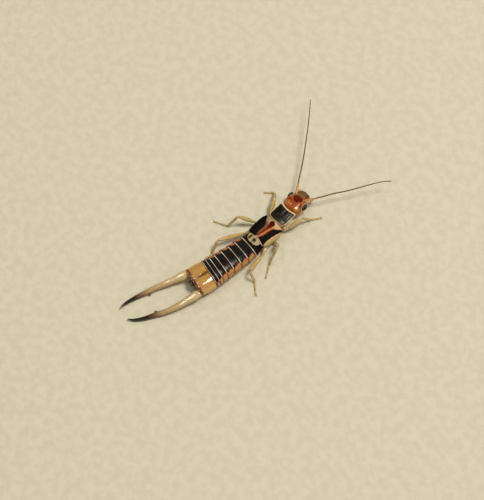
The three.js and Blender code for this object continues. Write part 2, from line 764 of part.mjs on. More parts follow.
/** The whole animal, moved so that the middle of its floor area is the origin. */
function makeEarwig() {
  const animal = new THREE.Group();
  addHead(animal);
  addThorax(animal);
  addAbdomen(animal);
  addLegs(animal);
  const bounds = new THREE.Box3().setFromObject(animal, true);
  const middle = bounds.getCenter(new THREE.Vector3());
  animal.position.set(-middle.x, -middle.y, -bounds.min.z);
  const earwig = new THREE.Group();
  earwig.name = 'shore_earwig';
  earwig.add(animal);
  return earwig;
}

export default makeEarwig();
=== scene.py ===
# %% [markdown]
# # A male shore earwig, life size
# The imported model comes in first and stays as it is, a fixed frame in metres. Every piece below is
# made in that same frame. Its places are written the way a drawing of an insect is read: x to the
# animal's left, y back along its midline from the hind edge of the wing covers, and z up from the
# floor, all in millimetres. One formula bends them along the curved body at the end, so that no
# piece has to be turned or fitted by hand.
# %% Load the frame
import math

import bpy
import numpy as np
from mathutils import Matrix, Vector


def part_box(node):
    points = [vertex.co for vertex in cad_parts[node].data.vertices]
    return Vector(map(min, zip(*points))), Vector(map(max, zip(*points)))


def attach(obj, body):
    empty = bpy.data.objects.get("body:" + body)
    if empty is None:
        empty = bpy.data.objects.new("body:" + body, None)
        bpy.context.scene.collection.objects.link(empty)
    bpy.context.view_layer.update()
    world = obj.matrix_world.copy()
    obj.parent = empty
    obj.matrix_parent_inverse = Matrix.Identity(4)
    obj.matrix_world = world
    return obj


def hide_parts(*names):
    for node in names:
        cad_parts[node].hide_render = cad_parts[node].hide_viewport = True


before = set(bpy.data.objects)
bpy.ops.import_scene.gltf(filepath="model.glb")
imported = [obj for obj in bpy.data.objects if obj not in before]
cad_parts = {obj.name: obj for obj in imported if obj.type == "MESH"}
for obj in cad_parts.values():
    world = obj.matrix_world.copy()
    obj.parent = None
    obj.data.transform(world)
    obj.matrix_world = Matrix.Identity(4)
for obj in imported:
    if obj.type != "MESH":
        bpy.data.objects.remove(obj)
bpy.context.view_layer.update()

MM = 0.001
SIDES = (("left", 1), ("right", -1))
print("frame:", len(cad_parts), "nodes")

# %% [markdown]
# ## Smooth courses
# The width or height of a living form changes smoothly along its length. A course takes a few stops
# of (place, size) and runs a smooth curve through them. The same rule shaped the solids, so the
# finer pieces here follow their outline exactly. Steps and hills are the other two soft rules.
# %% Courses, steps and hills


def course(stops):
    """A smooth curve through stops of (place, size), as a function of the place."""
    places, sizes = np.array(stops, float).T
    slopes = np.diff(sizes) / np.diff(places)
    leans = np.concatenate([slopes[:1], (slopes[1:] + slopes[:-1]) / 2, slopes[-1:]])

    def at(place):
        place = np.clip(place, places[0], places[-1])
        i = np.clip(np.searchsorted(places, place, side="right") - 1, 0, len(slopes) - 1)
        step = places[i + 1] - places[i]
        t = (place - places[i]) / step
        start = sizes[i] * (1 + 2 * t) * (1 - t) ** 2 + leans[i] * step * t * (1 - t) ** 2
        end = sizes[i + 1] * t * t * (3 - 2 * t) + leans[i + 1] * step * t * t * (t - 1)
        return start + end

    return at


def smooth(value, low, high):
    """0 at or below low, 1 at or above high, and a soft step between."""
    t = np.clip((value - low) / (high - low), 0, 1)
    return t * t * (3 - 2 * t)


def hill(value, middle, spread):
    """A rounded hill, 1 high, over its middle."""
    return np.exp(-(((value - middle) / spread) ** 2))


def net(down, across):
    """For every point of a sheet, its value down the rows and its value across them."""
    return np.meshgrid(down, across, indexing="ij")


def unit(vector):
    """The same direction, one long."""
    return vector / np.linalg.norm(vector)


# %% [markdown]
# ## The bent midline
# The animal curves gently to its left, one degree for each millimetre of its length, and its midline
# drifts a little to the sides. Plates are rigid, so each stands in a section of its own that is
# turned with the midline. Feelers, legs and forceps have their points bent one by one.
# %% From body coordinates to the model
BEND_PER_MM = math.radians(1.0)
midline_drift = course([(-9, 0.25), (-2, 0.22), (1.5, 0), (5, -0.15), (8, -0.3), (11, -0.28),
                        (21, -0.12)])


def bend(points):
    """Points in body coordinates, placed along the bent midline."""
    x, y, z = np.moveaxis(np.asarray(points, float), -1, 0)
    turn = BEND_PER_MM * y
    aside = x + midline_drift(y)
    radius = 1 / BEND_PER_MM
    across = radius * (1 - np.cos(turn)) + aside * np.cos(turn)
    back = radius * np.sin(turn) - aside * np.sin(turn)
    return np.stack([across, back, z], -1)


def section(y, extra_turn=0.0):
    """A rule that places points of a rigid section, which stands on the midline at y."""
    origin = bend([0, y, 0])
    angle = extra_turn - BEND_PER_MM * y
    turned = np.array([
        [math.cos(angle), math.sin(angle), 0],
        [-math.sin(angle), math.cos(angle), 0],
        [0, 0, 1],
    ])
    return lambda points: np.asarray(points, float) @ turned + origin


# %% [markdown]
# ## The place of the frame
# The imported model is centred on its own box. One eye of the solids, whose place in the head is known,
# tells how far body coordinates have to be moved to fall on it. The two eyes of the animal are not
# quite alike, as it turns its head a little.
# %% Eyes and origin
HEAD_REAR = -6.25
in_head = section(HEAD_REAR, math.radians(4))
EYE_PLACE = np.array([1.38, -1.85, 1.78])
EYE_RADII = np.array([0.33, 0.52, 0.44])
EYES = {"left": EYE_PLACE + (-0.14, -0.06, 0), "right": (EYE_PLACE + (0, 0.12, 0)) * (-1, 1, 1)}
eye_low, eye_high = (np.array(corner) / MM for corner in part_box("eye_left"))
CENTRING = (eye_low + eye_high) / 2 - in_head(EYE_PLACE)
print("the frame's origin is at", np.round(-CENTRING, 3), "mm")

# %% [markdown]
# ## Forms from rows of points
# Nearly every hard part of an insect is a tube or a plate: rows of points, each row a section, joined
# by faces. A form is such a sheet or tube. It keeps, beside the faces, an unwrap of its own surface
# and the straight place of every point, so that stripes and edges can be drawn in body coordinates
# and still follow the bent animal.
# %% Tubes and sheets


def grid_form(grid, into, start=0.0, wrap=True, inside=None, **extra):
    """A form from rows of points, round and closed if wrap, or else an open sheet facing outward."""
    rows, columns = grid.shape[:2]
    points = grid.reshape(-1, 3)
    turns = columns if wrap else columns - 1
    row, column = net(np.arange(rows - 1), np.arange(turns))
    following = (column + 1) % columns
    corners = [row * columns + column, row * columns + following,
               (row + 1) * columns + following, (row + 1) * columns + column]
    faces = np.stack(corners, -1).reshape(-1, 4).tolist()
    across, along = column / turns, row / (rows - 1)
    right, beyond = (column + 1) / turns, (row + 1) / (rows - 1)
    unwrap = np.stack([np.stack(spot, -1) for spot in (
        (across, along), (right, along), (right, beyond), (across, beyond))], 2).reshape(-1, 2).tolist()
    values = {key: np.broadcast_to(value, (rows, columns)).reshape(-1) for key, value in extra.items()}
    if wrap:
        for end, share in ((0, 0.0), (rows - 1, 1.0)):
            ring = np.arange(columns) + end * columns
            hub = len(points)
            points = np.vstack([points, points[ring].mean(0)])
            values = {key: np.append(value, value[ring].mean()) for key, value in values.items()}
            order = [(hub, ring[(k + 1) % columns], ring[k]) for k in range(columns)]
            if end:
                order = [(hub, ring[k], ring[(k + 1) % columns]) for k in range(columns)]
            faces += [tuple(int(i) for i in face) for face in order]
            unwrap += [[(k + 0.5) / columns if j == 0 else k / columns, share] for k in range(columns)
                       for j in range(3)]
    heart = points.mean(0) if inside is None else np.asarray(inside, float)
    outward = 0.0
    for a, b, c, *_ in faces:
        pa, pb, pc = points[a] - heart, points[b] - heart, points[c] - heart
        outward += pa @ np.cross(pb, pc)
    if outward < 0:
        faces, unwrap = turned_over(faces, unwrap)
    places = points + np.array([0, start, 0])
    return {"points": into(points), "places": places, "faces": faces, "unwrap": unwrap, "extra": values}


def turned_over(faces, unwrap):
    """The same faces, looking the other way."""
    flipped, spots, first = [], [], 0
    for face in faces:
        flipped.append(tuple(reversed(face)))
        spots += list(reversed(unwrap[first:first + len(face)]))
        first += len(face)
    return flipped, spots


def closing_rings(edge, middle, steps):
    """Rings that draw the open end of a tube in to its middle, by steps of (share of its size, y)."""
    rings = []
    for size, y in steps:
        ring = middle + (edge - middle) * size
        ring[:, 1] = y
        rings.append(ring)
    return np.array(rings)


# %% [markdown]
# ## From forms to a piece
# A piece is one object: its forms put together, smooth-shaded, with one finish. Modifiers that round
# its edges or give a plate its thickness are applied at once, so that what is left is a plain mesh at
# the origin, the same one that the finish and the bristles see.
# %% Pieces


def add_object(name, data):
    """A new object of the scene from a mesh, a lamp or a camera."""
    made = bpy.data.objects.new(name, data)
    bpy.context.scene.collection.objects.link(made)
    return made


def plain_mesh(name, points, faces, unwrap):
    """A mesh with its unwrap."""
    mesh = bpy.data.meshes.new(name)
    mesh.from_pydata(points.tolist(), [], faces)
    mesh.uv_layers.new(name="surface").data.foreach_set("uv", np.ravel(unwrap))
    return mesh


def evaluated_mesh(piece):
    """The plain, smooth-shaded mesh that a piece makes with its modifiers."""
    bpy.context.view_layer.update()
    seen = piece.evaluated_get(bpy.context.evaluated_depsgraph_get())
    mesh = bpy.data.meshes.new_from_object(seen)
    mesh.shade_smooth()
    return mesh


def make_piece(name, forms, finish, modifiers=()):
    """One object from several forms."""
    points, faces, first = [], [], 0
    for form in forms:
        points.append(form["points"])
        faces += [tuple(i + first for i in face) for face in form["faces"]]
        first += len(form["points"])
    unwrap = [spot for form in forms for spot in form["unwrap"]]
    mesh = plain_mesh(name, (np.vstack(points) + CENTRING) * MM, faces, unwrap)
    place = mesh.attributes.new("place", "FLOAT_VECTOR", "POINT")
    place.data.foreach_set("vector", np.vstack([form["places"] for form in forms]).ravel())
    for key in sorted({key for form in forms for key in form["extra"]}):
        values = [form["extra"].get(key, np.zeros(len(form["points"]))) for form in forms]
        layer = mesh.attributes.new(key, "FLOAT", "POINT")
        layer.data.foreach_set("value", np.concatenate(values).astype(np.float32))
    mesh.shade_smooth()
    mesh.materials.append(finish)
    piece = add_object(name, mesh)
    for kind, settings in modifiers:
        modifier = piece.modifiers.new(kind.lower(), kind)
        for key, value in settings.items():
            setattr(modifier, key, value)
    if modifiers:
        solid = evaluated_mesh(piece)
        piece.modifiers.clear()
        piece.data = solid
    print(f"{name}: {len(piece.data.polygons)} faces")
    return piece


def settle(piece, slot, *nodes):
    """Puts a finished piece on the body, in the place of the solids that it stands for."""
    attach(piece, "root")
    if nodes:
        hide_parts(*nodes)
    return piece


def plate_edges(thickness):
    """The modifiers that give a sheet its thickness, inward, and round its edges."""
    return (
        ("SOLIDIFY", {"thickness": thickness * MM, "offset": -1.0, "use_even_offset": True}),
        ("SUBSURF", {"levels": 1, "render_levels": 1}),
    )


# %% [markdown]
# ## Node shorthand
# A finish is a small tree of nodes, and so is a rule that grows geometry. These few words place a
# node and join it: products and sums of any length, a soft step, a colour laid over another, and
# the values that each point of a mesh carries.
# %% Nodes


class Tree:
    """A node tree with short words for placing and joining nodes."""

    def __init__(self, tree):
        self.tree = tree

    def sockets(self, inputs, output, kind):
        """Gives the tree named inputs, each of a kind and a value, and one output."""
        for label, (sort, value) in inputs.items():
            socket = self.tree.interface.new_socket(label, in_out="INPUT", socket_type="NodeSocket" + sort)
            if value is not None:
                socket.default_value = value
        self.tree.interface.new_socket(output, in_out="OUTPUT", socket_type="NodeSocket" + kind)
        self.given = self.node("NodeGroupInput").outputs

    def put_out(self, result):
        """Ends the tree with what it puts out."""
        self.node("NodeGroupOutput", {0: result})
        return self.tree

    def node(self, kind, inputs=None, **settings):
        made = self.tree.nodes.new(kind)
        for key, value in settings.items():
            setattr(made, key, value)
        for key, value in (inputs or {}).items():
            self.feed(made.inputs[key], value)
        return made

    def feed(self, socket, value):
        if isinstance(value, bpy.types.NodeSocket):
            self.tree.links.new(value, socket)
        else:
            socket.default_value = value

    def math(self, operation, *values):
        return self.node("ShaderNodeMath", dict(enumerate(values)), operation=operation).outputs[0]

    def chain(self, operation, values):
        result, *others = values
        for value in others:
            result = self.math(operation, result, value)
        return result

    def times(self, *values):
        return self.chain("MULTIPLY", values)

    def plus(self, *values):
        return self.chain("ADD", values)

    def vector_math(self, operation, *vectors, scale=None):
        made = self.node("ShaderNodeVectorMath", dict(enumerate(vectors)), operation=operation)
        if scale is not None:
            self.feed(made.inputs["Scale"], scale)
        return made.outputs["Value" if operation in ("LENGTH", "DISTANCE") else "Vector"]

    def axes(self, vector):
        return self.node("ShaderNodeSeparateXYZ", {0: vector}).outputs

    def vector(self, *parts):
        return self.node("ShaderNodeCombineXYZ", dict(enumerate(parts))).outputs[0]

    def step(self, value, low, high):
        """0 at low and 1 at high, with a soft step between; low may be above high."""
        made = self.node("ShaderNodeMapRange", {"Value": value, "From Min": low, "From Max": high},
                         interpolation_type="SMOOTHSTEP")
        return made.outputs[0]

    def mix(self, factor, first, second):
        made = self.node("ShaderNodeMix", {0: factor, 6: first, 7: second}, data_type="RGBA")
        return made.outputs[2]

    def over(self, below, mask, shade, strength=1.0):
        """A colour, by its 0 to 255 values, laid over another where a mask is."""
        return self.mix(mask if strength == 1.0 else self.times(mask, strength), below, colour(*shade))

    def noise(self, vector, scale, detail=2.0, roughness=0.5):
        made = self.node("ShaderNodeTexNoise", {
            "Vector": vector, "Scale": scale, "Detail": detail, "Roughness": roughness,
        })
        return made.outputs["Fac"]

    def ragged(self, place, scale, amount, detail=3.0):
        """A random rise and fall about 0, which makes a drawn line ragged."""
        return self.times(self.math("SUBTRACT", self.noise(place, scale, detail), 0.5), amount)

    def field(self, name, output="Fac"):
        """What each point of the mesh carries under a name."""
        made = self.node("ShaderNodeAttribute", attribute_name=name, attribute_type="GEOMETRY")
        return made.outputs[output]

    def object_place(self):
        return self.node("ShaderNodeTexCoord").outputs["Object"]

    def group(self, shared, inputs):
        return self.node("ShaderNodeGroup", inputs, node_tree=shared).outputs[0]


def colour(red, green, blue):
    """A colour from its 0 to 255 screen values."""
    values = [value / 255 for value in (red, green, blue)]
    linear = [v / 12.92 if v <= 0.04045 else ((v + 0.055) / 1.055) ** 2.4 for v in values]
    return (*linear, 1.0)


# %% [markdown]
# ## Shared effects
# Three effects are used by many finishes, so each is a node group that is built once: a soft spot,
# the mottled tone of horn-like cuticle, and its fine relief. A finish places the group with values
# of its own.
# %% Spot, tone and relief


def shared_effect(name, inputs, output, kind):
    """An empty node group with named inputs and one output, as a tree to fill."""
    tree = Tree(bpy.data.node_groups.new(name, "ShaderNodeTree"))
    tree.sockets({"Place": ("Vector", (0, 0, 0)), **inputs}, output, kind)
    return tree, tree.given


def build_spot():
    """A soft round or oval spot about a place."""
    tree, given = shared_effect("soft spot", {
        "Middle": ("Vector", (0, 0, 0)), "Size": ("Vector", (1, 1, 1)), "Softness": ("Float", 0.2),
    }, "Mask", "Float")
    away = tree.vector_math("SUBTRACT", given["Place"], given["Middle"])
    length = tree.vector_math("LENGTH", tree.vector_math("DIVIDE", away, given["Size"]))
    inner = tree.math("SUBTRACT", 1.0, given["Softness"])
    return tree.put_out(tree.step(length, tree.plus(1.0, given["Softness"]), inner))


def build_tone():
    """The mottled tone of cuticle: a colour with darker clouds in it."""
    tree, given = shared_effect("cuticle tone", {
        "Colour": ("Color", (0.5, 0.5, 0.5, 1)), "Darker": ("Color", (0.2, 0.2, 0.2, 1)),
        "Cloud size": ("Float", 0.6), "Amount": ("Float", 0.5),
    }, "Colour", "Color")
    scale = tree.math("DIVIDE", 1.0, given["Cloud size"])
    clouds = tree.step(tree.noise(given["Place"], scale, 3.0, 0.6), 0.35, 0.75)
    return tree.put_out(tree.mix(tree.times(clouds, given["Amount"]), given["Colour"], given["Darker"]))


def build_relief():
    """The fine relief of cuticle: shallow pits and soft creases, from 0 to 1."""
    tree, given = shared_effect("cuticle relief", {
        "Pit size": ("Float", 0.1), "Crease size": ("Float", 0.5), "Pits": ("Float", 0.5),
    }, "Height", "Float")
    pits = tree.node("ShaderNodeTexVoronoi", {
        "Vector": given["Place"], "Scale": tree.math("DIVIDE", 1.0, given["Pit size"]),
    }, feature="SMOOTH_F1")
    bowls = tree.times(tree.step(pits.outputs["Distance"], 0.0, 0.45), given["Pits"])
    creases = tree.noise(given["Place"], tree.math("DIVIDE", 1.0, given["Crease size"]), 4.0, 0.55)
    return tree.put_out(tree.times(tree.plus(bowls, creases), 0.5))


SPOT, TONE, RELIEF = build_spot(), build_tone(), build_relief()
print("shared effects:", [group.name for group in (SPOT, TONE, RELIEF)])


def soft_spot(tree, place, middle, size, softness):
    """The mask of a soft spot in the plane, about a middle."""
    return tree.group(SPOT, {
        "Place": place, "Middle": (*middle, 0), "Size": (*size, 1), "Softness": softness})


def tone(tree, place, shade, darker, cloud_size, amount):
    """A colour with darker clouds, both by their 0 to 255 values."""
    return tree.group(TONE, {"Place": place, "Colour": colour(*shade), "Darker": colour(*darker),
                             "Cloud size": cloud_size, "Amount": amount})


def clouded(*look):
    """A paint that is one clouded colour all over."""
    return lambda tree, place: tone(tree, place, *look)


def rimmed(look, rim, shade):
    """A paint for small plates: clouded, with a darker rim, from the plate's own rim values."""
    return lambda tree, place: tree.over(
        tone(tree, place, *look), tree.step(tree.field("rim"), *rim), shade, 0.7)


# %% [markdown]
# ## A finish for cuticle
# Cuticle is a glossy, slightly translucent varnish-like shell. Each finish below gives only its
# colour over the surface; the sheen of the shell, its fine pits and the light that sinks into its
# paler parts are the same small recipe with a few numbers of its own.
# %% The cuticle recipe
WEAR = 0.14
SUNK_LIGHT, SUNK_DEPTH = (1.0, 0.45, 0.2), 0.25


def new_finish(name):
    """A new material and its node tree."""
    material = bpy.data.materials.new(name)
    material.use_nodes = True
    return material, Tree(material.node_tree)


def cuticle(name, paint, gloss=0.3, depth=0.0, coat=0.3, pit_size=0.09, pits=0.5, crease=0.5, bump=0.012,
            shine=0.5):
    """A cuticle finish. paint(tree, place) gives its colour; gloss is its roughness, shine its
    strength, and coat its varnish, as a number or as a mask made in the same way as the colour."""
    material, tree = new_finish(name)
    place = tree.field("place", "Vector")
    height = tree.group(RELIEF, {"Place": place, "Pit size": pit_size, "Crease size": crease, "Pits": pits})
    relief = tree.node("ShaderNodeBump", {"Height": height, "Distance": bump * MM, "Strength": 1.0})
    worn = tree.step(tree.noise(place, 1.7, 3.0), 0.3, 0.8)
    finish = {
        "Base Color": paint(tree, place),
        "Roughness": tree.math("MULTIPLY_ADD", worn, WEAR, gloss - WEAR / 2),
        "Normal": relief.outputs["Normal"],
        "Coat Weight": coat(tree, place) if callable(coat) else coat, "Coat Roughness": 0.12,
        "IOR": 1.56, "Specular IOR Level": shine,
        "Subsurface Weight": depth, "Subsurface Radius": SUNK_LIGHT, "Subsurface Scale": SUNK_DEPTH * MM,
    }
    for key, value in finish.items():
        tree.feed(material.node_tree.nodes["Principled BSDF"].inputs[key], value)
    return material


# %% [markdown]
# ## Camera
# The photograph looks down on the animal from behind its right side, from well above. The camera
# stands where lines through the head, the wing covers, the joints of the abdomen and the two tips
# of the forceps all meet the picture, with the animal small in the frame as it is there.
# %% Camera
FRAME_WIDTH, FRAME_HEIGHT = 484, 500
CAMERA_ELEVATION, CAMERA_AZIMUTH = math.radians(67), math.radians(-129.5)
CAMERA_DISTANCE = 0.3
CAMERA_AIM = (0.6774, 2.0261, 0.0)
FOCAL_PIXELS, SENSOR_WIDTH = 2181, 36.0


def look_from(looker, way, distance, target=Vector()):
    """Sets a camera or lamp back from its target along a way, looking at it."""
    looker.location = target + way * distance
    looker.rotation_mode = "QUATERNION"
    looker.rotation_quaternion = (-way).to_track_quat("-Z", "Y")


camera_back = Vector((
    math.sin(CAMERA_AZIMUTH) * math.cos(CAMERA_ELEVATION),
    -math.cos(CAMERA_AZIMUTH) * math.cos(CAMERA_ELEVATION),
    math.sin(CAMERA_ELEVATION),
))
camera_target = Vector((np.array(CAMERA_AIM) + CENTRING) * MM)
camera_target.z = 0.0
camera = add_object("camera", bpy.data.cameras.new("camera"))
camera.data.sensor_width = SENSOR_WIDTH
camera.data.lens = SENSOR_WIDTH * FOCAL_PIXELS / max(FRAME_WIDTH, FRAME_HEIGHT)
camera.data.clip_start, camera.data.clip_end = 0.01, 10.0
look_from(camera, camera_back, CAMERA_DISTANCE, camera_target)
bpy.context.scene.camera = camera
bpy.context.scene.view_settings.view_transform = "Standard"
print("camera at", [round(value, 4) for value in camera.location])

# %% [markdown]
# ## Light
# A soft lamp almost overhead gives the long glints on the right side of the last ring and the
# head. A small one on the other side of the zenith gives the narrow streaks on the forceps, and two
# wide, weak lamps and a pale surrounding keep the shadows soft.
# %% Light


def area_light(name, towards, distance, size, power, tint):
    """A square soft lamp that looks at the animal from a direction."""
    lamp = bpy.data.lights.new(name, "AREA")
    lamp.size = size
    lamp.energy = power
    lamp.color = tint
    look_from(add_object(name, lamp), Vector(towards).normalized(), distance)


area_light("key", (-0.16, -0.28, 0.95), 0.5, 0.13, 1.75, (1.0, 0.96, 0.84))
area_light("side fill", (-1.0, 0.5, 0.7), 0.6, 0.5, 0.3, (1.0, 0.96, 0.84))
area_light("back fill", (0.8, -0.9, 0.8), 0.6, 0.5, 0.25, (1.0, 0.96, 0.86))
area_light("small top lamp", (0.28, 0.26, 0.925), 0.5, 0.08, 0.28, (1.0, 0.97, 0.9))
world = bpy.data.worlds.new("studio")
world.use_nodes = True
background = world.node_tree.nodes["Background"]
background.inputs["Color"].default_value = (1.0, 0.955, 0.83, 1.0)
background.inputs["Strength"].default_value = 0.26
bpy.context.scene.world = world

# %% [markdown]
# ## Floor
# The floor is one large square with a faint, cloudy tint, so that it stays plain in every view.
# %% Floor
FLOOR_HALF = 1.5


def make_floor():
    """A plain pale floor, wide enough for every view."""
    mesh = bpy.data.meshes.new("floor")
    corners = [(x * FLOOR_HALF, y * FLOOR_HALF, 0) for x, y in ((-1, -1), (1, -1), (1, 1), (-1, 1))]
    mesh.from_pydata(corners, [], [(0, 1, 2, 3)])
    material, tree = new_finish("floor paint")
    shader = material.node_tree.nodes["Principled BSDF"]
    cloud = tree.step(tree.noise(tree.object_place(), 900.0, 3.0), 0.35, 0.65)
    tree.feed(shader.inputs["Base Color"], tree.over(colour(203, 197, 176), cloud, (210, 204, 184)))
    shader.inputs["Roughness"].default_value = 0.85
    mesh.materials.append(material)
    floor = add_object("floor", mesh)


make_floor()

# %% [markdown]
# ## The soft skin under the plates
# An insect wears its hard parts like armour over a soft, pale skin. It shows at the neck and as thin
# lines between the plates. One smooth tube from the head to the last ring makes it, a little inside
# every plate, with a few folds at the neck.
# %% Ovals and tubes


def oval(angle, half_width, low, high, squareness=2.4):
    """Points x and z on a squarish oval between two heights, widest a little below its middle."""
    power = 2 / squareness
    middle = low + (high - low) * 0.45
    side, up = np.cos(angle), np.sin(angle)
    reach = np.where(up > 0, high - middle, middle - low)
    x = half_width * np.sign(side) * np.abs(side) ** power
    return x, middle + reach * np.sign(up) * np.abs(up) ** power


def round_angles(count):
    """Angles once round, without the last one, which would fall on the first."""
    return np.arange(count) * 2 * math.pi / count


def tube_grid(along, columns, sizes):
    """Rows of points of a tube along y, from sizes(y) that gives its half width, low and high."""
    y, angle = net(along, round_angles(columns))
    x, z = oval(angle, *sizes(y))
    return np.stack([x, y, z], -1)


# %% Soft skin
SKIN_FRONT, SKIN_REAR = -6.7, 10.2
skin_half_width = course([(SKIN_FRONT, 0.55), (-6.2, 0.74), (-5.5, 0.74), (-4.9, 0.9), (-3.4, 1.0),
                          (-0.4, 1.24), (0.4, 1.42), (1.4, 1.62), (4, 1.76), (8, 1.98), (SKIN_REAR, 1.9)])
skin_high = course([(SKIN_FRONT, 1.7), (-6.2, 1.98), (-5.8, 2.04), (-5.4, 2.28), (-5.0, 2.32), (-3.8, 2.28),
                    (-1.2, 2.2), (-0.5, 1.95), (0, 1.82), (1.4, 2.02), (3, 2.26), (6, 2.4), (8.5, 2.46),
                    (SKIN_REAR, 2.3)])
skin_low = course([(SKIN_FRONT, 1.3), (-6.2, 1.04), (-5.5, 1.02), (-4.9, 0.84), (0, 0.76), (1.4, 0.64),
                   (4, 0.54), (8, 0.5), (SKIN_REAR, 0.62)])


def soft_skin_sizes(y):
    """Half width, low and high of the skin, with folds at the neck."""
    folds = 0.03 * np.sin((y + 6.2) * 22) * smooth(y, -6.3, -6.1) * (1 - smooth(y, -5.6, -5.4))
    return skin_half_width(y) + folds, skin_low(y) - folds, skin_high(y) + folds


MEMBRANE = cuticle("soft skin", clouded((216, 196, 160), (170, 130, 84), 0.4, 0.6), gloss=0.45, depth=0.25,
                   coat=0.1, pits=0.1, crease=0.12, bump=0.02)
skin_grid = tube_grid(np.linspace(SKIN_FRONT, SKIN_REAR, 170), 40, soft_skin_sizes)
settle(make_piece("soft_skin", [grid_form(skin_grid, bend)], MEMBRANE), "membrane", "neck")

# %% [markdown]
# ## The rings of the abdomen
# Each ring has a plate above and a plate below. The upper plate starts under the one before it, like
# a roof tile, swells to a rounded hind edge and bows back at the midline; its sides are folded down
# over the lower plate. Both are open sheets that get their thickness afterwards, which keeps the
# free hind edges thin and crisp, and every point knows how far it is from its hind edge.
# %% Plates of the abdomen
RING_SQUARENESS = 2.5
abdomen_half_width = course([(0, 1.5), (1.4, 1.78), (4, 1.92), (8, 2.14), (9.6, 2.22), (10.6, 2.08)])
abdomen_high = course([(0, 1.94), (1.4, 2.18), (3, 2.42), (6, 2.56), (8.5, 2.64), (9.8, 2.56), (10.6, 2.3)])
abdomen_low = course([(0, 0.62), (1.4, 0.48), (4, 0.38), (8, 0.34), (9.8, 0.42), (10.6, 0.62)])
JOINTS = [0.0, 0.55, 1.45, 2.75, 3.9, 5.15, 6.25, 7.05, 7.6, 8.1, 10.55]
RING_PLATES = (  # overlap, first and last angle, columns, inset, tuck under the ring before, lower or not
    (0.02, -26, 206, 72, 0.0, 0.22, 0.0),
    (-0.02, 196, 344, 44, 0.07, 0.16, 1.0),
)
ring_bow_size = course([(0, 0), (4, 0), (6.2, 0), (8.1, 0.12), (10.55, 0.22)])


def ring_bow(x, y, z):
    """How far back the edge of a ring at y bows at a point of its section."""
    return ring_bow_size(y) * smooth(z, 1.0, 2.5) * (1 - (x / 2.4) ** 2)


def ring_sheet(front, rear, angles, inset, tuck):
    """An upper or lower plate, from a tucked front to a free hind edge, and how far from that it is."""
    share, angle = net(np.linspace(0, 1, 16) ** 0.85, angles)
    y = front - tuck + (rear - front + tuck) * share
    under = 0.16 * (1 - smooth(y, front - tuck, front + 0.2)) + 0.05 * (1 - smooth(share, 0.3, 0.75))
    lip = 0.02 * smooth(share, 0.7, 0.92) - 0.035 * smooth(share, 0.94, 1.0)
    drawn_in = inset + under - lip
    at = np.clip(y, 0, 10.6)
    x, z = oval(angle, abdomen_half_width(at) - drawn_in, abdomen_low(at) + drawn_in,
                abdomen_high(at) - drawn_in, RING_SQUARENESS)
    return np.stack([x, y - front + ring_bow(x, y, z), z], -1), rear - y


def ring_forms(index):
    """The upper and lower plate of one ring."""
    front, rear = JOINTS[index], JOINTS[index + 1]
    forms = []
    for overlap, first, last, columns, inset, tuck, lower in RING_PLATES:
        angles = np.linspace(math.radians(first), math.radians(last), columns)
        sheet, edge = ring_sheet(front, rear + overlap, angles, inset, tuck)
        forms.append(grid_form(sheet, section(front), front, wrap=False,
                               inside=(0, (rear - front) / 2, 1.5), edge=edge, lower=lower))
    return forms


def paint_abdomen(tree, place):
    """Black band down the back, stepped dark red edges, tan sides with painted shade on the left, pale hind
    edges.
    """
    x, y, z = tree.axes(place)
    edge = tree.field("edge")
    aside = tree.math("ABSOLUTE", x)
    on_back = tree.step(z, 0.95, 1.2)
    stepped = tree.times(tree.step(edge, 0.85, 0.1), 0.26)
    front_wide = tree.times(tree.step(y, 1.75, 1.3), 0.95)
    rear_wide = tree.times(tree.step(y, 6.9, 7.9), 0.22)
    ragged = tree.ragged(place, 3.2, 0.3)
    reach = tree.plus(1.04, stepped, ragged, tree.times(y, 0.032), front_wide, rear_wide)
    beyond = tree.math("SUBTRACT", aside, reach)
    tan = tone(tree, place, (182, 134, 84), (148, 96, 52), 0.5, 0.7)
    tan = tree.over(tan, tree.step(y, 6.0, 7.6), (214, 162, 106), 0.7)
    # Painted shade: the left flank is darkened towards brown.
    tan = tree.over(tan, tree.step(x, 1.3, 1.8), (140, 92, 50), 0.6)
    belly = tone(tree, place, (204, 164, 108), (160, 110, 62), 0.7, 0.6)
    side = tree.mix(tree.field("lower"), tan, belly)
    streak = tree.times(tree.step(edge, 0.34, 0.06), tree.step(y, 6.4, 7.5))
    dark_edge = tree.math("MAXIMUM", tree.step(edge, 0.12, 0.03), streak)
    seam = tree.over(side, dark_edge, (86, 34, 14), 0.85)
    fringe = tree.over(seam, tree.times(tree.step(beyond, 0.26, 0.1), on_back), (92, 22, 6))
    black = tone(tree, place, (9, 5, 3), (30, 9, 4), 0.35, 0.8)
    band = tree.mix(tree.times(tree.step(beyond, 0.1, -0.05), on_back), fringe, black)
    hem = tree.mix(tree.step(y, 7.0, 7.6), tree.step(edge, 0.11, 0.07), tree.step(edge, 0.08, 0.045))
    hem = tree.times(hem, tree.step(beyond, 0.2, 0.0), on_back, tree.step(y, 0.75, 1.2))
    hem_colour = tree.mix(tree.step(aside, 0.3, 1.1), colour(196, 172, 148), colour(244, 234, 214))
    return tree.mix(hem, band, hem_colour)


ABDOMEN = cuticle("abdomen cuticle", paint_abdomen, gloss=0.27, depth=0.05, coat=0.06, pit_size=0.07,
                  pits=0.4, crease=0.3, bump=0.006, shine=0.15)
for index in range(9):
    piece = make_piece(f"ring_{index + 1:02d}", ring_forms(index), ABDOMEN, plate_edges(0.05))
    settle(piece, "shell_black", f"abdomen_{index + 1:02d}")

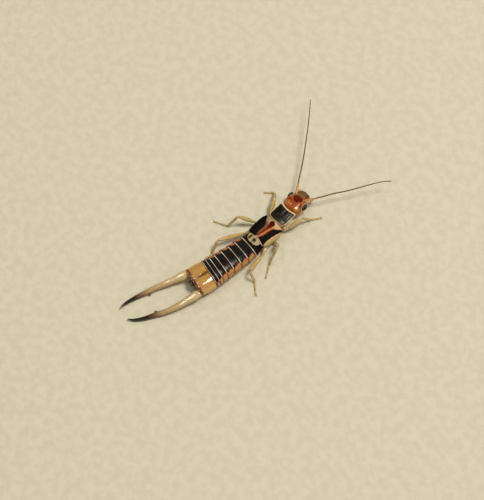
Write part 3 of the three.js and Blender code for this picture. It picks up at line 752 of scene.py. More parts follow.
# %% [markdown]
# ## The last ring
# The tenth ring is the largest: a golden box, about twice as long as any ring before it, with a
# shallow groove down its middle, two low swellings over the roots of the forceps and a thick hind
# rim. It is one closed tube. A few rounded hills push its upper surface in and out, and its hind
# end is turned in round the roots of the forceps.
# %% Last ring
LAST_FRONT, LAST_REAR = JOINTS[-2], JOINTS[-1]
LAST_LENGTH = LAST_REAR - LAST_FRONT
RIM_DIP = 0.09
last_ring_high = course([(7.9, 2.615), (8.1, 2.62), (9.75, 2.61), (10.1, 2.58), (10.35, 2.5), (10.6, 2.38)])


def last_ring_grid():
    """The rows of the last ring, and how far each point is from its hind edge."""
    share = np.concatenate([np.linspace(-0.08, 0.9, 44), np.linspace(0.91, 1.0, 14)])
    share_grid, angle = net(share, round_angles(120))
    y = LAST_FRONT + LAST_LENGTH * share_grid
    under = 0.15 * (1 - smooth(share_grid, -0.08, 0.06))
    rim = 0.05 * smooth(share_grid, 0.88, 0.93) - 0.07 * smooth(share_grid, 0.965, 1.0)
    x, z = oval(angle, abdomen_half_width(y) - under + rim, abdomen_low(y) + under - rim * 0.5,
                last_ring_high(y) - under + rim, RING_SQUARENESS)
    on_top = smooth(np.sin(angle), 0.3, 0.8)
    groove = -0.10 * hill(x, 0.0, 0.2) * smooth(share_grid, 0.1, 0.4) * (1 - smooth(share_grid, 0.86, 0.93))
    swelling = 0.01 * (hill(x, 1.05, 0.5) + hill(x, -1.05, 0.5)) * smooth(share_grid, 0.45, 0.75)
    dip = -RIM_DIP * hill(x, 0.0, 0.5) * smooth(share_grid, 0.72, 0.92)
    z = z + on_top * (groove + swelling * (1 - smooth(share_grid, 0.84, 0.92)) + dip)
    outer = np.stack([x, y - LAST_FRONT + ring_bow(x, y, z), z], -1)
    hind = outer[-1]
    turned_in = np.linspace(0.05, 1, 10)
    inner = closing_rings(hind, np.array([0, LAST_LENGTH - 0.32, 1.5]), [
        (1 - 0.94 * part, hind[:, 1] - 0.05 * part - 0.3 * smooth(part, 0.1, 0.6)) for part in turned_in])
    grid = np.concatenate([outer, inner])
    edge = np.concatenate([(1 - share) * LAST_LENGTH, -0.1 - turned_in])
    return grid, np.broadcast_to(edge[:, None], grid.shape[:2])


def paint_last_ring(tree, place):
    """Gold, browner in the groove and along the dark, beaded hind edge."""
    x, _, z = tree.axes(place)
    edge = tree.field("edge")
    aside = tree.math("ABSOLUTE", x)
    gold = tone(tree, place, (188, 140, 70), (152, 100, 42), 0.9, 0.6)
    side = tree.over(gold, tree.step(aside, 1.5, 2.1), (206, 160, 94))
    wide = tree.math("MULTIPLY_ADD", tree.step(edge, 0.4, 2.2), 0.22, 0.16)
    stripe = tree.times(tree.step(tree.math("DIVIDE", aside, wide), 1.0, 0.2), tree.step(edge, 0.3, 1.3),
                        tree.step(edge, 2.45, 2.25), tree.step(z, 2.0, 2.3))
    grooved = tree.over(side, stripe, (96, 46, 14), 0.9)
    near_edge = tree.step(tree.plus(edge, tree.ragged(place, 4.0, 0.3, 2.0)), 0.42, 0.2)
    hemmed = tree.over(grooved, near_edge, (88, 30, 10), 0.92)
    return tree.over(hemmed, tree.step(edge, LAST_LENGTH - 0.16, LAST_LENGTH - 0.04), (74, 30, 12))


LAST_RING = cuticle("last ring cuticle", paint_last_ring, gloss=0.13, depth=0.1, coat=0.4, pit_size=0.12,
                    pits=0.2, crease=0.7, bump=0.002, shine=0.4)
grid, edge = last_ring_grid()
last_ring = make_piece("last_ring", [grid_form(grid, section(LAST_FRONT), LAST_FRONT, edge=edge)], LAST_RING)
settle(last_ring, "shell_gold", "abdomen_10")

# %% [markdown]
# ## Growing geometry
# What repeats, such as beads, facets and bristles, is made by trees of Geometry Nodes. A tree has
# named inputs, which are set by their identifiers, and it grows on a carrier: a bare path, a bare
# limb or an empty holder. What it makes becomes a plain piece, and the carrier is cleared away.
# %% Geometry trees


class GeometryTree(Tree):
    """A geometry tree with named inputs, which are set by their identifiers."""

    def __init__(self, name, inputs):
        super().__init__(bpy.data.node_groups.new(name, "GeometryNodeTree"))
        self.sockets({"Geometry": ("Geometry", None), **inputs}, "Geometry", "Geometry")

    def named(self, name):
        return self.node("GeometryNodeInputNamedAttribute", {"Name": name},
                         data_type="FLOAT_VECTOR").outputs[0]

    def store(self, geometry, name, value, kind="FLOAT", domain="POINT"):
        return self.node("GeometryNodeStoreNamedAttribute", {
            "Geometry": geometry, "Name": name, "Value": value}, data_type=kind, domain=domain).outputs[0]

    def along(self, way):
        """The rotation that turns z to a way."""
        return self.node("FunctionNodeAlignRotationToVector", {"Vector": way}, axis="Z").outputs[0]

    def repeat(self, shape, points, turned, size):
        """A copy of an object at each point."""
        shape = self.node("GeometryNodeObjectInfo", {"Object": shape}).outputs["Geometry"]
        return self.node("GeometryNodeInstanceOnPoints", {
            "Points": points, "Instance": shape, "Rotation": turned, "Scale": size}).outputs[0]

    def finish(self, geometry, material):
        """Realizes the instances, gives them their finish and ends the tree."""
        real = self.node("GeometryNodeRealizeInstances", {0: geometry}).outputs[0]
        return self.put_out(self.node("GeometryNodeSetMaterial", {
            "Geometry": real, "Material": material}).outputs[0])


def grow(tree, carrier, name, **values):
    """Runs a geometry tree on a carrier and returns what it makes as a new plain piece."""
    modifier = carrier.modifiers.new("grow", "NODES")
    modifier.node_group = tree
    for item in tree.interface.items_tree:
        key = item.name.replace(" ", "_")
        if item.in_out == "INPUT" and key in values:
            modifier[item.identifier] = values[key]
    mesh = evaluated_mesh(carrier)
    mesh.name = name
    bpy.data.objects.remove(carrier)
    print(f"{name}: {len(mesh.polygons)} faces")
    return add_object(name, mesh)


# %% [markdown]
# ## Things in a row along a path
# Bumps on a rim, the joints of a feeler and other small things in a row differ only in their path,
# number and size. One tree lays them all: it walks along a path in equal or growing steps, sets a
# bead at each, turns it to the way ahead and scales it from a first to a last size. Each bead keeps
# its share of the way, so that a finish can change from the root to the tip.
# %% Beads along a path


def build_beads():
    """The tree that lays beads along a path."""
    tree = GeometryTree("beads along a path", {
        "Bead": ("Object", None), "Count": ("Int", 10), "First width": ("Float", 0.0002),
        "Last width": ("Float", 0.0002), "Length share": ("Float", 1.0), "Crowding": ("Float", 1.0),
        "Finish": ("Material", None),
    })
    given = tree.given
    path = tree.node("GeometryNodeMeshToCurve", {0: given["Geometry"]}).outputs[0]
    points = tree.node("GeometryNodePoints", {"Count": given["Count"]}).outputs[0]
    index = tree.node("GeometryNodeInputIndex").outputs[0]
    shares, spots = [], []
    for shift in (0.0, 0.5, 1.0):
        share = tree.math("DIVIDE", tree.plus(index, shift), given["Count"])
        shares.append(tree.math("POWER", share, given["Crowding"]))
        spots.append(tree.node("GeometryNodeSampleCurve", {
            "Curves": path, "Factor": shares[-1]}, mode="FACTOR").outputs["Position"])
    ahead = tree.vector_math("SUBTRACT", spots[2], spots[0])
    length = tree.times(tree.vector_math("LENGTH", ahead), given["Length share"])
    growth = tree.math("SUBTRACT", given["Last width"], given["First width"])
    width = tree.plus(given["First width"], tree.times(growth, shares[1]))
    placed = tree.node("GeometryNodeSetPosition", {"Geometry": points, "Position": spots[1]}).outputs[0]
    placed = tree.store(placed, "share", shares[1])
    row = tree.repeat(given["Bead"], placed, tree.along(ahead), tree.vector(width, width, length))
    return tree.finish(row, given["Finish"])


BEADS = build_beads()


def path_carrier(points):
    """A bare path in the frame for beads to follow."""
    mesh = bpy.data.meshes.new("path")
    places = (np.asarray(points) + CENTRING) * MM
    mesh.from_pydata(places.tolist(), [(i, i + 1) for i in range(len(places) - 1)], [])
    return add_object("path", mesh)


def round_rows(profile, columns):
    """Rings of points about z from (height, half width) stops."""
    return [[(width * math.cos(a), width * math.sin(a), height) for a in round_angles(columns)]
            for height, width in profile]


def bead_shape(name, rows):
    """A closed shape one unit long about z, from rings of points, for trees that repeat it."""
    form = grid_form(np.array(rows), lambda points: points)
    return add_object(name, plain_mesh(name, form["points"], form["faces"], form["unwrap"]))


# %% [markdown]
# ## Bumps on the last ring
# The hind rim of the last ring carries a row of blunt, dark bumps, which read as a beaded edge. They
# follow the rim's own section, half sunk in it.
# %% Rim bumps
RIM_INSET = 0.015
EGG_PROFILE = [(-0.5 * math.cos(t), max(0.5 * math.sin(t), 0.02)) for t in np.linspace(0, math.pi, 9)]


def paint_rim_bumps(tree, place):
    patchy = tree.step(tree.noise(tree.object_place(), 5200.0, 1.0), 0.42, 0.62)
    return tree.over(colour(92, 30, 10), patchy, (196, 128, 62))


RIM_BUMP = cuticle("rim bumps", paint_rim_bumps, gloss=0.2, coat=0.5, pits=0.0)
rim_angles = np.radians(np.linspace(10, 170, 80))
rim_x, rim_z = oval(rim_angles, abdomen_half_width(LAST_REAR) - RIM_INSET, abdomen_low(LAST_REAR) + RIM_INSET,
                    last_ring_high(LAST_REAR) - RIM_INSET, RING_SQUARENESS)
rim_y = LAST_LENGTH - 0.06 + ring_bow(rim_x, LAST_REAR, rim_z)
rim_z = rim_z - RIM_DIP * hill(rim_x, 0.0, 0.5) * (np.sin(rim_angles) > 0.3)
rim_path = section(LAST_FRONT)(np.stack([rim_x, rim_y, rim_z], -1))
egg_bead = bead_shape("egg bead", round_rows(EGG_PROFILE, 14))
rim_bumps = grow(BEADS, path_carrier(rim_path), "rim_bumps", Bead=egg_bead, Finish=RIM_BUMP, Count=17,
                 First_width=0.25 * MM, Last_width=0.25 * MM, Length_share=0.8)
settle(rim_bumps, "shell_gold")

# %% [markdown]
# ## Limbs as swept tubes
# Legs, palps, jaws and forceps are tubes swept along a path. The path is a smooth curve through a
# few points, or straight stretches with rounded corners; a frame that keeps one side level carries
# the section along it, with a width and a height that follow their own courses.
# %% Paths and sweeps


def lengths_along(path):
    """How far along a path each of its points lies."""
    return np.concatenate([[0], np.cumsum(np.linalg.norm(np.diff(path, axis=0), axis=1))])


def at_lengths(path, where):
    """The points of a path at some lengths along it."""
    lengths = lengths_along(path)
    return np.stack([np.interp(where, lengths, path[:, axis]) for axis in range(3)], -1)


def curve_path(points, steps=240):
    """A smooth path through points, closely stepped."""
    points = np.asarray(points, float)
    gaps = np.linalg.norm(np.diff(points, axis=0), axis=1) ** 0.5
    times = np.concatenate([[0], np.cumsum(gaps)])
    lines = [course(list(zip(times, points[:, axis]))) for axis in range(3)]
    when = np.linspace(0, times[-1], steps)
    return np.stack([line(when) for line in lines], -1)


def bent_path(points, rounding):
    """A path of straight stretches with rounded corners, and how far along it each corner lies."""
    path, corners = [points[0]], []
    for i in range(1, len(points) - 1):
        corner = points[i]
        into, out = (corner + unit(end - corner) * rounding[i - 1] for end in (points[i - 1], points[i + 1]))
        t = np.linspace(0, 1, 13)[:, None]
        path += list(into * (1 - t) ** 2 + corner * 2 * t * (1 - t) + out * t ** 2)
        corners.append(len(path) - 7)
    path = np.array([*path, points[-1]])
    return path, lengths_along(path)[corners]


def sweep(path, side, width, height=None, begin=0.0, end=None, rows=24, columns=16, grow_out=None, **extra):
    """A closed tube along part of a path; width and height are whole sizes by share of its length."""
    end = lengths_along(path)[-1] if end is None else end
    share = 0.5 - 0.5 * np.cos(np.linspace(0, math.pi, rows)) if rows < 60 else np.linspace(0, 1, rows)
    at = begin + (end - begin) * share
    heart = at_lengths(path, at)
    ahead = np.gradient(heart, axis=0)
    ahead /= np.linalg.norm(ahead, axis=1)[:, None]
    side = np.asarray(side, float)
    across = side - (ahead @ side)[:, None] * ahead
    across /= np.linalg.norm(across, axis=1)[:, None]
    upward = np.cross(across, ahead)
    angles = round_angles(columns)
    half_width = width(share)[:, None] / 2 * np.cos(angles)
    half_height = (width if height is None else height)(share)[:, None] / 2 * np.sin(angles)
    out = np.ones((rows, columns)) if grow_out is None else grow_out(share[:, None], angles[None, :])
    grid = (heart[:, None] + across[:, None] * (half_width * out)[..., None]
            + upward[:, None] * (half_height * out)[..., None])
    grid[..., 2] = np.maximum(grid[..., 2], 0.0)
    values = {key: value(share)[:, None] for key, value in extra.items()}
    form = grid_form(grid, lambda points: points, share=share[:, None], **values)
    straight = np.stack([half_width, np.broadcast_to(at[:, None], out.shape), half_height], -1).reshape(-1, 3)
    form["places"] = np.vstack([straight, [(0, begin, 0), (0, end, 0)]])
    form["ahead"] = np.vstack([np.repeat(ahead, columns, 0), ahead[:1], ahead[-1:]])
    return form


def rounded(size, share=0.08, least=0.35):
    """A size along a tube that draws in at both ends, so that they are round."""
    def at(along):
        edge = np.clip(np.minimum(along, 1 - along) / share, 0, 1)
        return size(along) * np.sqrt(np.maximum(1 - (1 - least ** 2) * (1 - edge) ** 2, 0.0))
    return at


def off_inside(angle, hand):
    """How far round a limb's section a point lies from the side that faces the midline."""
    return np.angle(np.exp(1j * (angle - (math.pi if hand > 0 else 0.0))))


# %% [markdown]
# ## The forceps
# The male's forceps are long pincers of solid horn. Each is stout at its root and gently flattened
# on top there, bows out, lies on the floor along its outer half and hooks in at its sharp tip, with
# one tooth on its inner edge past the middle and a row of fine notches before it. The tooth and the
# notches are drawn out of the tube itself. The horn darkens from cream at the root to nearly black
# at the tip.
# %% Forceps
FORCEPS_ROOT = 10.7
FORCEPS_POINTS = {
    "left": [(1.6, FORCEPS_ROOT - 0.22, 1.42), (1.74, 12.2, 1.05), (1.86, 14.0, 0.7), (1.88, 15.8, 0.44),
             (1.75, 17.3, 0.34), (1.6, 18.6, 0.31), (1.37, 19.7, 0.33), (1.06, 20.6, 0.4),
             (0.7, 21.12, 0.48)],
    "right": [(-1.72, FORCEPS_ROOT - 0.22, 1.42), (-1.84, 12.2, 1.03), (-1.92, 14.0, 0.7),
              (-1.88, 15.8, 0.45), (-1.74, 17.3, 0.35), (-1.63, 18.7, 0.31), (-1.42, 19.8, 0.34),
              (-1.05, 20.66, 0.43)],
}
TOOTH_PLACE, TOOTH_LENGTH = {"left": 0.57, "right": 0.62}, 0.3
TOOTH_BEFORE, TOOTH_BEHIND = 0.03, 0.014
FLAT_HEIGHT = 0.95
forceps_width = course([(0, 0.95), (0.03, 1.12), (0.08, 1.18), (0.2, 0.96), (0.35, 0.84), (0.55, 0.78),
                        (0.75, 0.6), (0.9, 0.38), (0.985, 0.14), (1, 0.05)])
forceps_height = course([(0, 0.9), (0.03, 1.06), (0.08, 1.12), (0.3, 0.86), (0.55, 0.74), (0.75, 0.6),
                         (0.9, 0.38), (0.985, 0.13), (1, 0.05)])


def tooth_rise(name):
    """The outline of the tooth along one arm, steeper on the side of the tip."""
    middle = TOOTH_PLACE[name]
    return lambda share: np.clip(
        1 - np.abs(share - middle) / np.where(share < middle, TOOTH_BEFORE, TOOTH_BEHIND), 0, 1) ** 1.3


def forceps_relief(name, hand):
    """How the horn departs from a plain tube: a keel, notches and the tooth, and a flat on top."""
    def relief(share, angle):
        off = off_inside(angle, hand)
        tooth = TOOTH_LENGTH * tooth_rise(name)(share) * hill(off, 0.05, 0.42)
        swell = 0.06 * hill(share, TOOTH_PLACE[name] - 0.01, 0.06) * hill(off, 0.0, 0.9)
        notch = 0.028 * (0.5 + 0.5 * np.cos(share * 210)) * hill(off, 0.0, 0.32)
        notch = notch * smooth(share, 0.04, 0.1) * (1 - smooth(share, 0.46, 0.53))
        keel = 0.07 * hill(off, 0.0, 0.45) * (1 - smooth(share, 0.3, 0.5))
        facing_up = np.maximum(np.sin(angle), 0.3)
        flat = (1 - np.minimum(1, FLAT_HEIGHT / facing_up)) * smooth(share, 0.0, 0.04)
        flat = flat * (1 - smooth(share, 0.25, 0.4))
        return (1 + (tooth + swell + notch + keel) / (forceps_width(share) / 2)) * (1 - flat)

    return relief


def paint_forceps(tree, place):
    """Olive-tan horn that ends in black, with a painted highlight along its top and painted shade underneath.
    """
    x, _, z = tree.axes(place)
    hand = tree.field("hand")
    along = tree.plus(tree.field("share"), tree.ragged(place, 0.9, 0.08), tree.times(hand, -0.018))
    pale = tree.over(colour(198, 174, 126), tree.step(along, 0.0, 0.3), (182, 154, 106))
    brown = tree.over(pale, tree.step(along, 0.26, 0.62), (138, 106, 64))
    # Painted shade: the lower half of each arm is darkened.
    low = tree.over(brown, tree.step(z, 0.16, -0.05), (116, 82, 44), 0.55)
    # Painted highlight: a paler streak along the top of each arm.
    crest_painted_highlight = tree.over(low, tree.step(z, 0.16, 0.36), (212, 188, 142), 0.4)
    dark = tree.over(crest_painted_highlight, tree.step(along, 0.52, 0.76), (46, 22, 8))
    tip = tree.over(dark, tree.step(along, 0.68, 0.84), (12, 7, 4))
    drawn_out = tree.node("ShaderNodeMapping", {"Vector": place, "Scale": (6.0, 0.5, 6.0)}).outputs[0]
    streaked = tree.over(tip, tree.step(tree.noise(drawn_out, 1.0, 3.0), 0.45, 0.75), (140, 98, 58), 0.25)
    tooth = tree.times(tree.field("tooth"), tree.step(tree.times(x, hand), -0.2, -0.36))
    return tree.over(streaked, tooth, (30, 15, 8), 0.9)


FORCEPS = cuticle("forceps horn", paint_forceps, gloss=0.16, depth=0.12, coat=0.3, pit_size=0.16, pits=0.2,
                  crease=0.5, bump=0.003, shine=0.35)
for name, hand in SIDES:
    arm = sweep(curve_path([bend(point) for point in FORCEPS_POINTS[name]]), (1, 0, 0), forceps_width,
                forceps_height, rows=230, columns=56, grow_out=forceps_relief(name, hand),
                tooth=tooth_rise(name), hand=lambda share: np.full_like(share, hand))
    settle(make_piece(f"forceps_arm_{name}", [arm], FORCEPS), "forceps_horn", f"forceps_{name}")

# %% [markdown]
# ## The small plate between the forceps
# Between the roots of the forceps sits the pygidium, a blunt dark knob that closes the body. It is a
# short tube whose end is rounded off.
# %% Pygidium
SMALL_PLATE = cuticle("small plate", clouded((84, 44, 20), (44, 20, 10), 0.3, 0.7), gloss=0.28, coat=0.3)
PYGIDIUM_LENGTH, PYGIDIUM_MIDDLE = 0.42, 1.62


def pygidium_sizes(y):
    """Half width, low and high of the pygidium, which narrows and rounds off behind."""
    share = np.clip(y / PYGIDIUM_LENGTH, 0, 1)
    end = np.sqrt(1 - 0.9 * smooth(share, 0.5, 1.0) ** 2)
    half_width = (0.5 - 0.12 * share ** 2) * end
    return half_width, PYGIDIUM_MIDDLE - 0.27 * end, PYGIDIUM_MIDDLE + 0.26 * end - 0.06 * share


pygidium_grid = tube_grid(np.linspace(-0.35, PYGIDIUM_LENGTH, 26), 24, pygidium_sizes)
pygidium = make_piece("pygidium_plate", [grid_form(pygidium_grid, section(FORCEPS_ROOT + 0.1))], SMALL_PLATE)
settle(pygidium, "body_tan", "pygidium")

# %% [markdown]
# ## The thorax below the wings
# Under the shield and the wing covers the thorax is armoured with separate plates: three shields on
# the breast and slanting plates on each side, with soft skin between them. Each is a patch of the
# thorax's own rounded section, raised a little and rounded at its corners. The plates of the right
# side are those of the left, mirrored.
# %% Plates of the thorax
thorax_half_width = course([(-5.4, 0.78), (-4.9, 1.0), (-4.0, 1.08), (-3.6, 1.08), (-3.0, 1.24),
                            (-0.2, 1.34)])
thorax_low = course([(-5.4, 0.98), (-4.9, 0.72), (-3.7, 0.66), (-0.2, 0.62)])
THORAX_HIGH = 2.07
BREAST_PLATES = {  # front, rear, first and last angle
    "prothorax": [(-5.25, -3.85, 232, 308)],
    "pterothorax": [(-3.5, -2.25, 230, 310), (-2.15, -0.3, 226, 314)],
}
SIDE_PLATES = {  # the same, and slant
    "prothorax": [(-5.2, -4.2, -38, 26, 0.1)],
    "pterothorax": [(-3.45, -2.45, -40, 30, 0.14), (-2.35, -1.2, -40, 30, 0.14), (-1.1, -0.2, -36, 30, 0.1)],
}
CORNER_ROUNDING = 0.42


def thorax_plate(front, rear, first, last, slant=0.0):
    """A plate of the thorax between two places and two angles, with rounded corners."""
    v, u = net(np.linspace(-1, 1, 14), np.linspace(-1, 1, 18))
    round_v = v * np.sqrt(1 - CORNER_ROUNDING * u ** 2 * np.abs(u))
    round_u = u * np.sqrt(1 - CORNER_ROUNDING * v ** 2 * np.abs(v))
    angle = math.radians((first + last) / 2) + math.radians((last - first) / 2) * round_u
    y = (front + rear) / 2 + (rear - front) / 2 * round_v + slant * u
    from_middle = np.maximum(np.abs(u), np.abs(v))
    out = 0.02 + 0.05 * (1 - u ** 2) * (1 - v ** 2) - 0.04 * from_middle ** 6
    x, z = oval(angle, thorax_half_width(y) + out, thorax_low(y) - out, THORAX_HIGH + out, 2.5)
    return grid_form(np.stack([x, y, z], -1), bend, wrap=False, inside=(0, (front + rear) / 2, 1.4),
                     rim=1 - from_middle)


THORAX_LOOK = (204, 156, 96), (156, 100, 52), 0.45, 0.7
THORAX = cuticle("thorax cuticle", rimmed(THORAX_LOOK, (0.16, 0.04), (104, 54, 24)), gloss=0.34, depth=0.12,
                 coat=0.25, pit_size=0.08)
for node, plates in BREAST_PLATES.items():
    forms = [thorax_plate(*plate) for plate in plates]
    for front, rear, first, last, slant in SIDE_PLATES[node]:
        forms += [thorax_plate(front, rear, first, last, slant),
                  thorax_plate(front, rear, 180 - last, 180 - first, -slant)]
    settle(make_piece(f"{node}_plates", forms, THORAX, plate_edges(0.06)), "body_tan", node)

# %% [markdown]
# ## The wing covers
# The two short wing covers meet along the midline and fold down over the sides. Their pattern is a
# set of lines in body coordinates: a black band on each, a cream corner in front, a dark red wedge
# along the seam with a rosy stripe at each side, and a pale crescent along the outer edge. Each
# point of the sheet stores how far it lies from those lines, and the finish draws them from that.
# On top of the pattern, painted shade darkens the cream corner and the rosy stripe of the left
# cover, and painted light lifts the rosy stripe of the right cover.
# %% Wing covers
TEGMEN_FRONT, TEGMEN_REAR = -3.45, -0.05
TEGMEN_HALF_WIDTH, TEGMEN_CROWN, TEGMEN_LOW_EDGE = 1.85, 2.6, 1.35
TEGMEN_POWER = 2 / 2.7
SEAM_PLACE, SEAM_GROOVE, REAR_SLANT = {1: 0.0, -1: -0.1}, {1: 0.02, -1: 0.1}, {1: 0.08, -1: 0.24}
tegmen_width = course([(0, 0.84), (0.06, 0.93), (0.2, 1), (0.75, 0.98), (0.93, 0.92), (1, 0.84)])
black_inner = {
    "left": course([(-3.7, 1.36), (-3.4, 1.26), (-2.96, 1.02), (-2.47, 0.65), (-1.9, 0.38), (-1.4, 0.38),
                    (-0.7, 0.35), (-0.3, 0.18), (0.1, 0.08)]),
    "right": course([(-3.7, 1.72), (-3.5, 1.6), (-2.95, 1.24), (-2.46, 0.82), (-2.0, 0.68), (-1.1, 0.6),
                     (-0.67, 0.5), (-0.3, 0.32), (-0.04, 0.12), (0.2, 0.05)]),
}
black_outer = {
    "left": course([(-3.7, 1.5), (-3.3, 1.72), (-2.8, 1.84), (0.2, 1.9)]),
    "right": course([(-3.7, 1.84), (-3.4, 1.75), (-2.73, 1.62), (-2.04, 1.51), (-1.0, 1.4), (-0.5, 1.43),
                     (0.2, 1.52)]),
}
wedge_middle = course([(-3.35, -0.05), (-3.1, -0.12), (-2.57, -0.15), (-2.0, -0.155), (-1.4, -0.1),
                       (-0.9, -0.04), (-0.45, 0.02), (0, 0.06)])
wedge_half = course([(-3.42, 0.02), (-3.3, 0.25), (-3.1, 0.4), (-2.96, 0.44), (-2.57, 0.3), (-2.0, 0.15),
                     (-1.4, 0.12), (-0.9, 0.09), (-0.45, 0.06), (0, 0.02)])


def tegmen_form(name, hand):
    """One wing cover, from the seam out and down to its low edge."""
    share, turn = net(np.linspace(0, 1, 66), np.linspace(0, math.pi / 2, 56))
    seam = SEAM_PLACE[hand]
    keel = 0.03 * hill(turn, math.radians(54), 0.1) * smooth(share, 0.02, 0.12)
    keel = keel * (1 - smooth(share, 0.8, 0.97))
    drop = 0.06 * (1 - smooth(share, 0, 0.12)) + 0.05 * smooth(share, 0.9, 1.0)
    x = seam + (TEGMEN_HALF_WIDTH * tegmen_width(share) - seam + keel) * np.sin(turn) ** TEGMEN_POWER
    z = TEGMEN_LOW_EDGE + (TEGMEN_CROWN - TEGMEN_LOW_EDGE - drop + keel) * np.cos(turn) ** TEGMEN_POWER
    z = z - SEAM_GROOVE[hand] * hill(x, seam, 0.09) + 0.012 * np.sin(share * 9 + x * 3)
    corner = 0.1 * hill(x, 0.0, 0.2) + 0.3 * smooth(turn, 1.0, 1.57)
    length = TEGMEN_REAR - TEGMEN_FRONT
    y = length * share - 0.12 * smooth(x, 0.6, TEGMEN_HALF_WIDTH) * (1 - share)
    y = y + (REAR_SLANT[hand] * smooth(x, 0.1, 1.4) - corner) * smooth(share, 0.7, 1.0)
    at, side = y + TEGMEN_FRONT, x * hand
    return grid_form(np.stack([side, y, z], -1), section(TEGMEN_FRONT), TEGMEN_FRONT, wrap=False,
                     inside=(0.6 * hand, 1.7, 1.4), inner=x - black_inner[name](at),
                     outer=x - black_outer[name](at), wedge=wedge_half(at) - np.abs(side - wedge_middle(at)),
                     rear=(1 - share) * length)


def paint_tegmen(tree, place):
    """Black bands round a rosy, dark-wedged middle, cream in front, a pale outer crescent; left painted
    shade, right painted light.
    """
    x, y, _ = tree.axes(place)
    ragged = tree.ragged(place, 3.5, 0.2)
    inner = tree.plus(tree.field("inner"), ragged)
    outer = tree.plus(tree.field("outer"), ragged)
    wedge = tree.plus(tree.field("wedge"), tree.times(ragged, 0.6))
    cream = tone(tree, place, (202, 174, 126), (170, 132, 84), 0.35, 0.5)
    # Painted shade: the cream corner of the left cover is darkened.
    cream = tree.over(cream, tree.step(x, 0.1, 0.5), (128, 90, 54), 0.6)
    # Painted light and shade: the rosy stripe is darker on the left cover and lighter on the right.
    stripe_painted_light_and_shade = tree.over(colour(128, 72, 46), tree.step(x, 0.1, -0.1), (164, 92, 54))
    rosy = tree.mix(tree.step(tree.plus(y, ragged), -2.95, -2.4), cream, stripe_painted_light_and_shade)
    # Painted light: a lighter band beside the wedge on the right cover.
    right_stripe_painted_light = tree.times(tree.step(wedge, -0.34, -0.2), tree.step(wedge, -0.06, -0.16),
                        tree.step(y, -2.9, -2.2), tree.step(x, 0.1, -0.05))
    rosy = tree.over(rosy, right_stripe_painted_light, (206, 132, 88), 0.6)
    rosy = tree.over(rosy, tree.step(inner, -0.14, 0.0), (92, 34, 14), 0.8)
    red = tree.over(colour(70, 10, 2), tree.step(y, -2.9, -1.6), (112, 28, 8))
    middle = tree.mix(tree.step(wedge, -0.04, 0.06), rosy, red)
    crescent = tree.over(middle, tree.step(outer, 0.0, 0.07), (202, 172, 120))
    black = tone(tree, place, (10, 7, 4), (24, 16, 8), 0.3, 0.7)
    band = tree.times(tree.step(inner, -0.03, 0.05), tree.step(outer, 0.03, -0.05))
    banded = tree.mix(band, crescent, black)
    behind = tree.times(tree.step(tree.field("rear"), 0.13, 0.08), tree.step(x, 0.3, 0.1))
    return tree.over(banded, behind, (206, 178, 150), 0.85)


TEGMEN = cuticle("wing cover leather", paint_tegmen, gloss=0.6, depth=0.05, coat=0.0, pit_size=0.055,
                 pits=0.8, crease=0.3, bump=0.012, shine=0.04)
for name, hand in SIDES:
    cover = make_piece(f"wing_cover_{name}", [tegmen_form(name, hand)], TEGMEN, plate_edges(0.07))
    settle(cover, "shell_black", f"tegmen_{name}")

# %% [markdown]
# ## The tips of the folded wings
# Behind the covers show the leathery tips of the folded hind wings, cream with two dark marks. Each
# is a thin flap with a few veins, tucked under its cover.
# %% Wing tips
WING_TIP_FRONT = TEGMEN_REAR + 0.12
wing_tip_width = course([(-0.5, 0.96), (0, 1), (0.4, 0.97), (0.75, 0.82), (0.92, 0.6), (1, 0.36)])


def wing_tip_form(hand, half_width, reach):
    """The tip of one folded wing, a leathery flap that is tucked under its cover."""
    share, across = net(np.linspace(-0.5, 1, 40), np.linspace(0, 1, 36))
    x = 0.01 + (half_width * wing_tip_width(share) - 0.01) * across
    vein = 0.022 * hill(across, 0.34 + 0.1 * share, 0.05) + 0.016 * hill(across, 0.72, 0.05)
    z = 2.42 - 0.1 * share - 0.18 * (x / half_width) ** 2 + vein - 0.05 * smooth(share, 0.8, 1.0)
    z = z + 0.02 * hand * smooth(x, 0.3, 0.0)
    return grid_form(np.stack([x * hand, reach * share, z], -1), section(WING_TIP_FRONT), WING_TIP_FRONT,
                     wrap=False, inside=(0.5 * hand, 0.4, 1.2))


def paint_wing_tip(tree, place):
    """Cream, with a dark bar on the left tip and a dark spot near the seam."""
    x, y, _ = tree.axes(place)
    flat = tree.vector(x, y)
    cream = tone(tree, place, (178, 156, 114), (150, 124, 82), 0.3, 0.5)
    bar = tree.times(soft_spot(tree, flat, (0.66, 0.5), (0.19, 0.42), 0.25), 0.95)
    seam = tree.times(tree.step(tree.math("ABSOLUTE", x), 0.05, 0.0), 0.4)
    marked = tree.over(cream, tree.math("MAXIMUM", bar, seam), (38, 24, 11))
    return tree.over(marked, soft_spot(tree, flat, (-0.13, 0.46), (0.3, 0.28), 0.35), (42, 27, 13), 0.95)


WING_TIP = cuticle("wing tip leather", paint_wing_tip, gloss=0.4, depth=0.1, coat=0.15, pit_size=0.05,
                   pits=0.6, crease=0.16, bump=0.016, shine=0.25)
for name, hand, half_width, reach in (("left", 1, 1.12, 0.96), ("right", -1, 1.02, 0.9)):
    form = wing_tip_form(hand, half_width, reach)
    flap = make_piece(f"wing_flap_{name}", [form], WING_TIP, plate_edges(0.05))
    settle(flap, "wing_cream", f"wing_tip_{name}")

# %% [markdown]
# ## The shield
# The pronotum is a flat shield behind the head. Its front half swells at both sides of a fine median
# groove, a shallow cross groove sets off the hind half, and its side and front rims are turned up,
# thin and pale round the black.
# %% Pronotum
PRONOTUM_FRONT, PRONOTUM_REAR, PRONOTUM_HALF_WIDTH = -6.1, -3.6, 1.4
PRONOTUM_CROWN = 2.6
pronotum_width = course([(0, 0.9), (0.06, 0.965), (0.3, 0.985), (0.7, 1), (0.86, 0.97), (0.95, 0.88),
                         (1, 0.76)])


